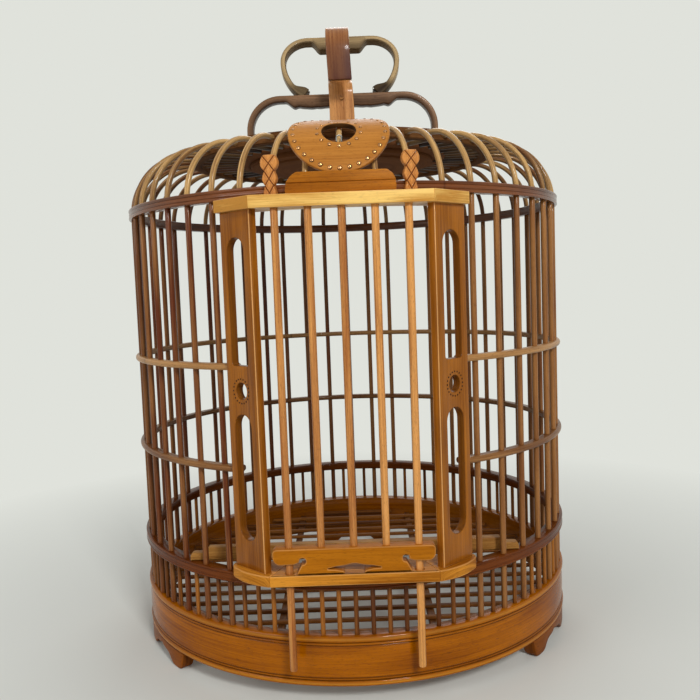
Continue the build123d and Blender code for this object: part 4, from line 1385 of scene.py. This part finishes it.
@dataclass
class Medallion:
    """The bent disc over the gate with its studs and staple, the plinth and the braid blocks."""

    bend_y: float = -120.5
    bend_z: float = 320.0
    inner: float = 43.87
    thickness: float = 2.96
    radius: float = 30.95
    hole: float = 10.25
    low_angle: float = 9.6
    stud_rings: Triples = ((30, 28.0, 1.5), (14, 13.5, 1.3))
    stud_share: float = 0.72
    stud_height: float = 0.9
    stud_sunk: float = 0.1
    stud_tone: Pair = (0.55, 0.45)
    staple_half: float = 1.5
    staple_wire: float = 0.45
    staple_foot: float = -10.05
    staple_shoulder: float = -4.6
    foot_z: float = 316.0
    band_y: float = -166.7
    band_thickness: float = 1.55
    band_edge: float = 0.3
    band_corners: Triples = (
        (32.7, 0.0, 0.4), (33.0, 3.5, 2.5), (32.6, 7.4, 0.3), (-32.2, 7.4, 0.3), (-33.0, 3.0, 3.0),
        (-32.7, 0.0, 0.4),
    )
    brow_y: float = -167.5
    brow_thickness: float = 2.35
    brow_edge: float = 0.45
    brow_corners: Triples = (
        (32.8, 7.0, 0.5), (31.2, 10.5, 6.0), (27.6, 13.25, 3.0), (-26.2, 13.25, 3.0), (-29.8, 10.7, 6.0),
        (-32.5, 7.0, 0.5),
    )
    braid_turn: float = 15.0
    braid_shift: float = 1.5
    braid_back_y: float = -165.1
    braid_thickness: float = 4.0
    braid_height: float = 24.5
    braid_places: Row = (0, 2.5, 4.4, 6.4, 8.0, 10.3, 12.4, 14.0, 15.2, 16.6, 18.6, 20.6, 22.6, 24.0, 24.5)
    braid_widths: Row = (3.6, 3.9, 3.3, 2.8, 3.8, 4.6, 4.1, 3.4, 3.1, 4.4, 5.4, 5.4, 4.7, 3.9, 3.1)
    zigzag_places: Row = (-2.5, 1.8, 6.4, 10.3, 15.2, 19.4, 24.0, 28.0)
    zigzag_widths: Row = (3.0, 0, 2.8, 0, 3.1, 0, 3.9, 7.4)
    cut_depth: float = 0.75
    cut_half: float = 0.45
    line_depth: float = 0.3
    line_half: float = 0.25
    line_gap: float = 1.45
    # Painted shade in the cut grooves.
    cut_shade: float = 0.95
    braid_edge: float = 0.9
    edge_share: float = 0.22
    edge_steepness: float = 0.96

    def middle_angle(self) -> float:
        """The bend angle at the disc's centre, its low angle plus its radius over the bend's."""
        return radians(self.low_angle) + self.radius / (self.inner + self.thickness / 2)

    def bent(self, across: Array, up: Array, out: Array) -> Array:
        """Bend flat places over the shoulder.

        Args:
            across: along +X.
            up: distance from the centre round the bend.
            out: distance from the disc's inner face.

        Returns:
            Points: the angle is the middle angle plus up over the bend's radius, and the radius is the inner
            one plus out.
        """
        angle = self.middle_angle() + up / (self.inner + self.thickness / 2)
        reach = self.inner + out
        return stacked(across, self.bend_y - reach * np.cos(angle), self.bend_z + reach * np.sin(angle))

    def disc(self, dresser: Dresser) -> None:
        """The disc: a closed section from the hole to the rim, carried round in polar places and bent."""
        corners = [(self.hole, 0, 0.4), (self.radius, 0, 0.6)]
        corners += [(self.radius, self.thickness, 0.9), (self.hole, self.thickness, 0.6)]
        section = divided(rounded(corners, 4), 1.6)
        turn = around(144)
        across = section[None, :, 0] * np.sin(turn)[:, None]
        up = section[None, :, 0] * np.cos(turn)[:, None]
        points = self.bent(across, up, section[None, :, 1] + 0 * across)
        grain = np.stack([across, up + section[None, :, 1]], axis=-1)
        grain = np.concatenate([grain, grain[:1]])
        grain = np.concatenate([grain, grain[:, :1]], axis=1)
        surface = Surface()
        # Painted shade round the hole's wall.
        surface.grid(points, grain, 0.5, 0.9 * smooth((self.hole + 0.6 - section[:, 0]) / 0.5))
        dresser.piece("medallion", surface, MEDALLION_AMBER, ["medallion_disc"])

    def studs(self, dresser: Dresser) -> None:
        """Domed brass studs round the rim and the hole, larger and brighter towards the disc's foot.

        Each is an ellipse's quarter turned about the stud's axis.
        """
        surface = Surface()
        rise = np.linspace(0, pi / 2, 5)
        spin = around(10)
        # Painted shadow ring round each stud's foot, stronger on the brighter studs.
        painted_shade = np.array([1.0, 0.8, 0.3, 0.0, 0.0, 0.0])[:, None]
        for count, ring, size in self.stud_rings:
            for turn in around(count):
                bright = 0.5 + 0.5 * cos(turn)
                share = self.stud_share + (1 - self.stud_share) * bright
                radius = size * share * np.append(np.cos(rise), POLE)[:, None]
                height = self.stud_height * (0.5 + 0.5 * bright)
                lift = height * np.append(np.sin(rise), 1.0)[:, None] - self.stud_sunk
                across = ring * sin(turn) + radius * np.cos(spin)
                up = -ring * cos(turn) + radius * np.sin(spin)
                points = self.bent(across, up, self.thickness + lift + 0 * across)
                tone = self.stud_tone[0] + self.stud_tone[1] * bright + float(RANDOM.uniform(-0.1, 0.1))
                surface.grid(points, np.zeros((6, 11, 2)), min(tone, 1.0), painted_shade * (0.2 + 0.8 * bright))
        dresser.piece("studs", surface, BRASS, ["medallion_studs"])

    def staple(self, dresser: Dresser) -> None:
        """The wire staple in the hole's lower edge: two legs and a half-round top."""
        top = arc(0.0, self.staple_shoulder, self.staple_half, np.linspace(0, pi, 9))[1:-1]
        legs = np.linspace(self.staple_foot, self.staple_shoulder, 4)
        right = np.column_stack([np.full(4, self.staple_half), legs])
        flat = np.concatenate([right, top, (right * MIRROR)[::-1]])
        angle = self.middle_angle()
        centre = self.bent(np.zeros(1), np.zeros(1), np.full(1, self.thickness / 2))
        up_aim = np.array([0, sin(angle), cos(angle)])
        out_aim = np.array([0, -cos(angle), sin(angle)])
        path = centre + flat[:, :1] * X_AIM + flat[:, 1:] * up_aim
        surface = Surface()
        sweep(surface, path, out_aim, circle(self.staple_wire, 10), 0.8, edge=0.1)
        dresser.piece("staple", surface, STEEL, ["medallion_staple"])

    def plinth(self, dresser: Dresser) -> None:
        """The plinth's band, and over it the brow with sloping shoulders, which stands a little proud."""
        surface = Surface()
        band, brow = rounded(self.band_corners, 4), rounded(self.brow_corners, 6)
        place = plane((0, self.band_y, self.foot_z), X_AIM, -Y_AIM)
        surface.plate(place, [band], self.band_thickness, self.band_edge, tone=0.45)
        place = plane((0, self.brow_y, self.foot_z), X_AIM, -Y_AIM)
        surface.plate(place, [brow], self.brow_thickness, self.brow_edge, tone=0.6)
        dresser.piece("plinth", surface, PLINTH_AMBER, ["medallion_plinth"])

    def braid(self, surface: Surface, side: int) -> None:
        """One braid block: a lobed board whose cut grooves cross, with lozenges between the side lobes.

        Args:
            surface: what to add to.
            side: 1 on the right, -1 on the left.

        The outline's half width is a smoothed line through a few measured places. The main grooves follow a
        zigzag from each crossing on the middle line out to the waist between two lobes; their depth, and that
        of the fine lines beside them, is a bell curve of the distance from the zigzag. The front falls away
        to the sides and the top as a quarter of an ellipse.
        """
        height = np.linspace(0, self.braid_height, 99)
        half = softened(np.interp(height, self.braid_places, self.braid_widths))
        share = np.linspace(-1, 1, 41)
        across = half[:, None] * share
        zigzag = np.interp(height, self.zigzag_places, self.zigzag_widths)
        away = np.abs(np.abs(across) - zigzag[:, None])
        cut = bell(away, self.cut_half) + self.line_depth * bell(away - self.line_gap, self.line_half)
        side_share = (np.abs(share) - 1 + self.edge_share) / self.edge_share
        near = np.maximum(side_share[None], (height - self.braid_height + 1.0)[:, None])
        fall = self.braid_edge * (1 - np.sqrt(1 - np.clip(near, 0, 1) ** 2 * self.edge_steepness))
        front = np.stack([across, self.braid_thickness - fall - self.cut_depth * cut], axis=-1)
        back = np.stack([across[:, ::-20], np.zeros_like(across[:, ::-20])], axis=-1)
        loop = np.concatenate([front, back], axis=1)
        rise = self.foot_z + height[:, None]
        local = stacked(loop[..., 0] - self.braid_shift, self.braid_back_y - loop[..., 1], rise)
        ends = [np.repeat(local[row].mean(axis=0)[None, None], loop.shape[1], axis=1) for row in (0, -1)]
        points = turned(np.concatenate([ends[0], local, ends[1]]), radians(self.braid_turn))
        points[..., 0] *= side
        along = np.concatenate([height[:1], height, height[-1:]])
        # Painted shade in the grooves, none on the back.
        dark = np.concatenate([np.clip(self.cut_shade * cut, 0, 1), np.zeros(back.shape[:2])], axis=1)
        dark = np.concatenate([dark[:1], dark, dark[-1:]])
        surface.grid(points, stacked(along[:, None], lengths(loop[20], True)[None]), 0.6, dark)

    def build(self, dresser: Dresser) -> None:
        """Make the disc, its fittings, the plinth and both braid blocks."""
        self.disc(dresser)
        self.studs(dresser)
        self.staple(dresser)
        self.plinth(dresser)
        for name, side in (("right", 1), ("left", -1)):
            surface = Surface()
            self.braid(surface, side)
            dresser.piece(f"braid_{name}_carved", surface, BRAID_GOLD, [f"braid_{name}"])


@dataclass
class Handles:
    """The bow, the brace loop on it, the hook strap and their pins."""

    bow_half: float = 75.95
    bow_strip: float = 5.0
    bow_front: float = 1.5
    bow_depth: float = 10.0
    bow_top: float = 413.6
    bow_shoulder: float = 27.0
    bow_grip: float = 45.0
    bow_slope: float = 8.5
    grip_depth: float = 4.7
    grip_wave: float = 0.35
    grip_pace: float = 0.3
    grip_even: float = 44.0
    cusps: tuple[Pair, ...] = ((34.0, 0.7), (20.0, 0.5))
    cusp_width: float = 2.2
    hub_low: float = 359.0
    hub_top: float = 365.0
    depth_gap: float = 0.1
    brace_lean: float = 22.0
    brace_shift: float = -0.3
    brace_strip: float = 4.2
    brace_depth: float = 8.0
    brace_rise: float = 52.8
    brace_foot: float = -1.7
    brace_foot_depth: float = 5.0
    brace_foot_run: float = 8.0
    # Painted shade towards the brace's feet, where it meets the bow: gain, start height and run.
    brace_foot_shade: Triple = (0.9, 14.0, 10.0)
    brace_grip: float = 23.0
    brace_slope: float = 7.5
    brace_grip_depth: float = 7.7
    lobe_radius: float = 22.0
    lobe_x: float = 25.8
    foot_x: float = 29.5
    strap_y: float = -0.75
    strap_thickness: float = 4.5
    strap_foot_half: float = 10.2
    strap_half: float = 9.0
    strap_narrowing: float = 1.25
    strap_crown: float = 0.25
    strap_edge: float = 0.85
    strap_lean: Triple = (0.8, 395.0, 60.0)
    # Darker skin with painted shade: over the back and top of the hook, and down the front of its tip.
    hook_skin_and_shade: Pair = (0.45, 25.0)
    tip_skin_and_shade: Triple = (0.65, 6.0, 20.0)
    hook_y: float = -2.0
    hook_z: float = 440.0
    hook_radius: float = 20.0
    tip_drop: float = 22.0
    stand_x: float = 2.1
    rivet_drop: float = 5.05
    rivet_radius: float = 1.5
    rivet_dome: float = 0.5
    rivet_sunk: float = 0.3
    pin_x: float = 25.5
    pin_rise: float = 2.6
    pin_ends: Pair = (0.9, 7.0)
    pin_radius: float = 0.6

    def strip(
        self, surface: Surface, flat: Array, place: Matrix, inner: Array, size: Triple, painted_shade_and_highlight: Array
    ) -> None:
        """Carry a strip of changing thickness along a flat path.

        Args:
            surface: what to add to.
            flat: the path (n, 2) in the plane's axes, from right to left over the top.
            place: the plane.
            inner: thickness inside the path at each place.
            size: thickness outside the path, depth square to the plane, and rounding of the edges.
            painted_shade_and_highlight: painted shade at each place; the inner side gets more.
        """
        outer, depth, edge = size
        turn = np.array(place)
        path = flat[:, :1] * turn[:3, 0] + flat[:, 1:] * turn[:3, 1] + turn[:3, 3]
        section = box_section((outer + inner) / 2, depth / 2, edge)
        # Painted shade on the strip's inner side.
        under = 0.7 * (section[..., 0] > 0.6 * section[..., 0].max(axis=1, keepdims=True))
        section = section + np.stack([(inner - outer) / 2, 0 * inner], axis=-1)[:, None]
        sweep(surface, path, turn[:3, 2], section, 0.5, np.maximum(painted_shade_and_highlight[:, None], under), 0.5)

    @staticmethod
    def across_the_top(right: Array) -> Array:
        """A path's right half, which ends in the middle, and its mirror image back down."""
        return np.concatenate([right, (right * MIRROR)[-2::-1]])

    def bow(self, dresser: Dresser) -> None:
        """The bow: straight legs, round shoulders and a thicker grip with a scalloped underside."""
        half = self.bow_strip / 2
        leg_x, top = self.bow_half - half, self.bow_top - half
        bend = self.bow_shoulder - half
        beam = np.linspace(leg_x - bend, 0, 60)[1:]
        right = np.concatenate([
            np.column_stack([np.full(7, leg_x), np.linspace(self.hub_low, top - bend, 8)[:-1]]),
            arc(leg_x - bend, top - bend, bend, np.linspace(0, pi / 2, 15)),
            np.column_stack([beam, np.full(len(beam), top)]),
        ])
        flat = self.across_the_top(right)
        x = np.abs(flat[:, 0])
        grip = smooth((self.bow_grip - x) / self.bow_slope) * (flat[:, 1] > top - 0.01)
        cusp = sum(bell(x - place, self.cusp_width) * depth for place, depth in self.cusps)
        wave = self.grip_wave * np.cos(np.minimum(x, self.grip_even) * self.grip_pace)
        inner = half + grip * (self.grip_depth + wave) - grip * cusp
        place = plane((self.stand_x, self.bow_front + self.bow_depth / 2, 0), X_AIM, -Y_AIM)
        surface = Surface()
        self.strip(surface, flat, place, inner, (half, self.bow_depth - self.depth_gap, 0.9), 0.1 + 0 * x)
        dresser.piece("bow", surface, BOW_DARK, ["handle_bow"])

    def brace(self, dresser: Dresser) -> None:
        """The kidney loop: bulging sides from its feet, a round lobe each side and a thicker top.

        A side is the circle that runs straight up into the lobe and passes through the foot: its radius is
        the sum of the squares of its run and its rise over twice its run.
        """
        half = self.brace_strip / 2
        bend = self.lobe_radius - half
        centre = self.brace_rise - self.lobe_radius
        across, drop = self.lobe_x + bend - self.foot_x, centre - self.brace_foot
        side = (across**2 + drop**2) / (2 * across)
        beam = np.linspace(self.lobe_x, 0, 40)[1:]
        right = np.concatenate([
            arc(self.lobe_x + bend - side, centre, side, np.linspace(-asin(drop / side), 0, 22)[:-1]),
            arc(self.lobe_x, centre, bend, np.linspace(0, pi / 2, 20)),
            np.column_stack([beam, np.full(len(beam), centre + bend)]),
        ])
        flat = self.across_the_top(right)
        level = flat[:, 1] > centre + bend - 0.01
        grip = smooth((self.brace_grip - np.abs(flat[:, 0])) / self.brace_slope) * level
        foot = smooth(1 - flat[:, 1] / self.brace_foot_run)
        inner = half + grip * self.brace_grip_depth + foot * self.brace_foot_depth
        gain, start, reach = self.brace_foot_shade
        dark = gain * smooth((start - flat[:, 1]) / reach)
        lean = radians(self.brace_lean)
        origin = (self.stand_x + self.brace_shift, self.bow_front + self.bow_depth / 2, self.bow_top)
        place = plane(origin, X_AIM, (0, -cos(lean), sin(lean)))
        surface = Surface()
        self.strip(surface, flat, place, inner, (half, self.brace_depth - self.depth_gap, 1.0), dark)
        dresser.piece("brace", surface, BRACE_OLIVE, ["brace_loop"])

    def strap(self, dresser: Dresser) -> None:
        """The hook strap: up from the hub, back under the hook's bow, over it and down in front.

        The back is the circle that leaves the straight stem without a bend and touches the hook's own circle.
        The strap narrows a little from its foot to the hook, and its broad faces are slightly crowned.
        """
        rise = self.hook_z - self.bow_top
        across = self.strap_y - self.hook_y
        bend = (across**2 + rise**2 - self.hook_radius**2) / (2 * (self.hook_radius - across))
        meet = atan2(rise, self.hook_y - self.strap_y - bend)
        tip = np.linspace(self.hook_z, self.hook_z - self.tip_drop, 9)[1:]
        flat = np.concatenate([
            np.column_stack([np.full(13, self.strap_y), np.linspace(self.hub_low, self.bow_top, 14)[:-1]]),
            arc(self.strap_y + bend, self.bow_top, bend, np.linspace(pi, meet, 9)[:-1]),
            arc(self.hook_y, self.hook_z, self.hook_radius, np.linspace(meet - pi, pi, 56)),
            np.column_stack([np.full(8, self.hook_y - self.hook_radius), tip]),
        ])
        run, height = lengths(flat, False), flat[:, 1]
        back, front = run[26], run[40]
        share, start, reach = self.strap_lean
        path = np.column_stack([self.stand_x * (1 - share * smooth((height - start) / reach)), flat])
        top = self.hook_z + self.hook_radius
        narrow = self.strap_foot_half - self.strap_narrowing * (height - self.hub_top) / (top - self.hub_top)
        half = np.where(run < front, narrow, self.strap_half)
        half = np.clip(half, self.strap_half, self.strap_foot_half)
        section = box_section(self.strap_thickness / 2, half, self.strap_edge)
        crown = self.strap_crown * (1 - (section[..., 1] / half[:, None]) ** 2)
        section[..., 0] += np.sign(section[..., 0]) * (crown - self.strap_crown)
        # The darker skin with painted shade: from the back of the hook over the top, and most towards the
        # tip's lower end.
        dark = self.hook_skin_and_shade[0] * smooth((run - back) / self.hook_skin_and_shade[1])
        gain, reach, drop = self.tip_skin_and_shade
        before = smooth((self.hook_y - flat[:, 0]) / reach) * (run > front)
        dark = dark + gain * before * smooth((top - 1 - height) / drop)
        surface = Surface()
        sweep(surface, path, X_AIM, section, 0.55, dark[:, None], 0.5)
        dresser.piece("strap", surface, STRAP_FLESH, ["hook_strap"])

    def pins(self, dresser: Dresser) -> None:
        """The rivet's domed heads before the strap and behind the bow, and the pins at the brace's feet."""
        surface = Surface()
        height = self.bow_top - self.rivet_drop
        rise = np.linspace(0, pi / 2, 6)
        spin = around(18)
        for y, aim in ((self.strap_y - self.strap_thickness / 2, -1), (self.bow_front + self.bow_depth, 1)):
            radius = np.concatenate([[POLE], self.rivet_radius * np.cos(rise)])[:, None]
            lift = np.concatenate([[-self.rivet_sunk], self.rivet_dome * np.sin(rise)])[:, None] * aim
            points = stacked(self.stand_x + radius * np.cos(spin), y + lift, height + radius * np.sin(spin))
            surface.grid(points, np.zeros((7, 19, 2)), 0.7)
        dresser.piece("rivet_heads", surface, BRONZE, ["hook_rivet"])
        surface = Surface()
        line = np.column_stack([np.linspace(*self.pin_ends, 5), np.full(5, self.bow_top + self.pin_rise)])
        for side in (-1, 1):
            path = np.column_stack([np.full(5, self.stand_x + side * self.pin_x), line])
            sweep(surface, path, X_AIM, circle(self.pin_radius, 10), 0.6, edge=0.15)
        dresser.piece("brace_pins", surface, STEEL)

    def build(self, dresser: Dresser) -> None:
        """Make the handles."""
        self.bow(dresser)
        self.brace(dresser)
        self.strap(dresser)
        self.pins(dresser)


@dataclass(frozen=True)
class Lamp:
    """One soft lamp: its name, place, power and size."""

    name: str
    place: Triple
    power: float
    size: float


@dataclass
class Studio:
    """A pale floor, soft level light, and the camera at the viewing angle."""

    distance: float = 635.55
    height: float = 261.29
    swing: float = 0.33
    roll: float = -0.0369
    lens: float = 40.46
    sensor: float = 36.0
    near: float = 0.02
    aim: Triple = (0.00229, 0.99673, -0.08081)
    pale: Row = (0.745, 0.76, 0.71, 1.0)
    white: Row = (1.0, 1.0, 1.0, 1.0)
    level: float = 0.28
    floor_half: float = 9.0
    fade_start: float = 0.15
    fade_run: float = 0.45
    lamps: tuple[Lamp, ...] = (
        Lamp("key", (0.6, -1.7, 1.3), 22.0, 0.38),
        Lamp("fill", (-1.4, -1.2, 0.9), 8.0, 0.8),
        Lamp("back", (0.3, 1.5, 1.4), 8.0, 1.0),
    )
    lamp_aim: Triple = (0, 0, 0.22)

    def camera(self) -> None:
        """Stand the camera: its axes are the aim, and right and up turned by the roll."""
        swing = radians(self.swing)
        forward = turned(np.array(self.aim), swing)
        forward /= np.linalg.norm(forward)
        right = np.cross(forward, Z_AIM)
        right /= np.linalg.norm(right)
        up = np.cross(right, forward)
        across = cos(self.roll) * right + sin(self.roll) * up
        above = -sin(self.roll) * right + cos(self.roll) * up
        place = turned(np.array([0.0, -self.distance, self.height]), swing) * METRES
        data = bpy.data.cameras.new("camera")
        data.lens, data.sensor_width, data.clip_start = self.lens, self.sensor, self.near
        turn = Matrix((tuple(across), tuple(above), tuple(-forward))).transposed()
        bpy.context.scene.camera = self.stood("camera", data, turn, place + AXIS_Y * Y_AIM)

    @staticmethod
    def stood(name: str, data: bpy.types.ID, turn: Matrix, place: Sequence[float]) -> bpy.types.Object:
        """Link a camera or lamp to the scene, turned and at its place."""
        made = bpy.data.objects.new(name, data)
        bpy.context.collection.objects.link(made)
        world = turn.to_4x4()
        world.translation = Vector(place)
        made.matrix_world = world
        return made

    def floor(self) -> None:
        """A wide pale floor that keeps the cage's shadow and fades to the backdrop's own colour."""
        mesh = bpy.data.meshes.new("studio_floor")
        signs = np.array([(-1, -1, 0), (1, -1, 0), (1, 1, 0), (-1, 1, 0)])
        mesh.from_pydata(signs * self.floor_half, [], [(0, 1, 2, 3)])
        made = bpy.data.objects.new("studio_floor", mesh)
        bpy.context.collection.objects.link(made)
        material = bpy.data.materials.new("studio_floor")
        graph = Graph(material)
        spot = graph.wire("ShaderNodeTexCoord", {}, {}, "Object")
        away = graph.wire("ShaderNodeVectorMath", {"operation": "LENGTH"}, {0: spot}, "Value")
        fade = ((away - self.fade_start) / self.fade_run).held()
        matte = graph.wire("ShaderNodeBsdfDiffuse", {}, {"Color": self.pale})
        glow = graph.wire("ShaderNodeEmission", {}, {"Color": self.pale, "Strength": 1.0})
        share = graph.rays("Camera", "Glossy") * fade
        mixed = graph.wire("ShaderNodeMixShader", {}, {0: share, 1: matte, 2: glow})
        graph.node("ShaderNodeOutputMaterial", {}, {"Surface": mixed})
        mesh.materials.append(material)

    def light(self) -> None:
        """Level world light, the backdrop's colour for the camera and for gloss, and three soft lamps."""
        world = bpy.data.worlds.new("studio")
        bpy.context.scene.world = world
        graph = Graph(world)
        level = graph.wire("ShaderNodeBackground", {}, {"Color": self.white, "Strength": self.level})
        shown = graph.wire("ShaderNodeBackground", {}, {"Color": self.pale, "Strength": 1.0})
        share = graph.rays("Camera", "Glossy", "Transmission")
        mixed = graph.wire("ShaderNodeMixShader", {}, {0: share, 1: level, 2: shown})
        graph.node("ShaderNodeOutputWorld", {}, {"Surface": mixed})
        for lamp in self.lamps:
            data = bpy.data.lights.new(lamp.name, "AREA")
            data.energy, data.size = lamp.power, lamp.size
            aim = Vector(self.lamp_aim) - Vector(lamp.place)
            self.stood(lamp.name, data, aim.to_track_quat("-Z", "Y").to_matrix(), lamp.place)

    def build(self) -> None:
        """Make the camera, the floor and the light."""
        self.camera()
        self.floor()
        self.light()
        bpy.context.scene.view_settings.view_transform = "Standard"


def main() -> None:
    """Build the camera, then every sub-assembly in turn."""
    logging.basicConfig(level=logging.INFO, format="%(message)s")
    Studio().build()
    dresser = Dresser()
    for assembly in (Rings(), Bars(), Gate(), Medallion(), Handles()):
        assembly.build(dresser)


if __name__ == "__main__":
    main()
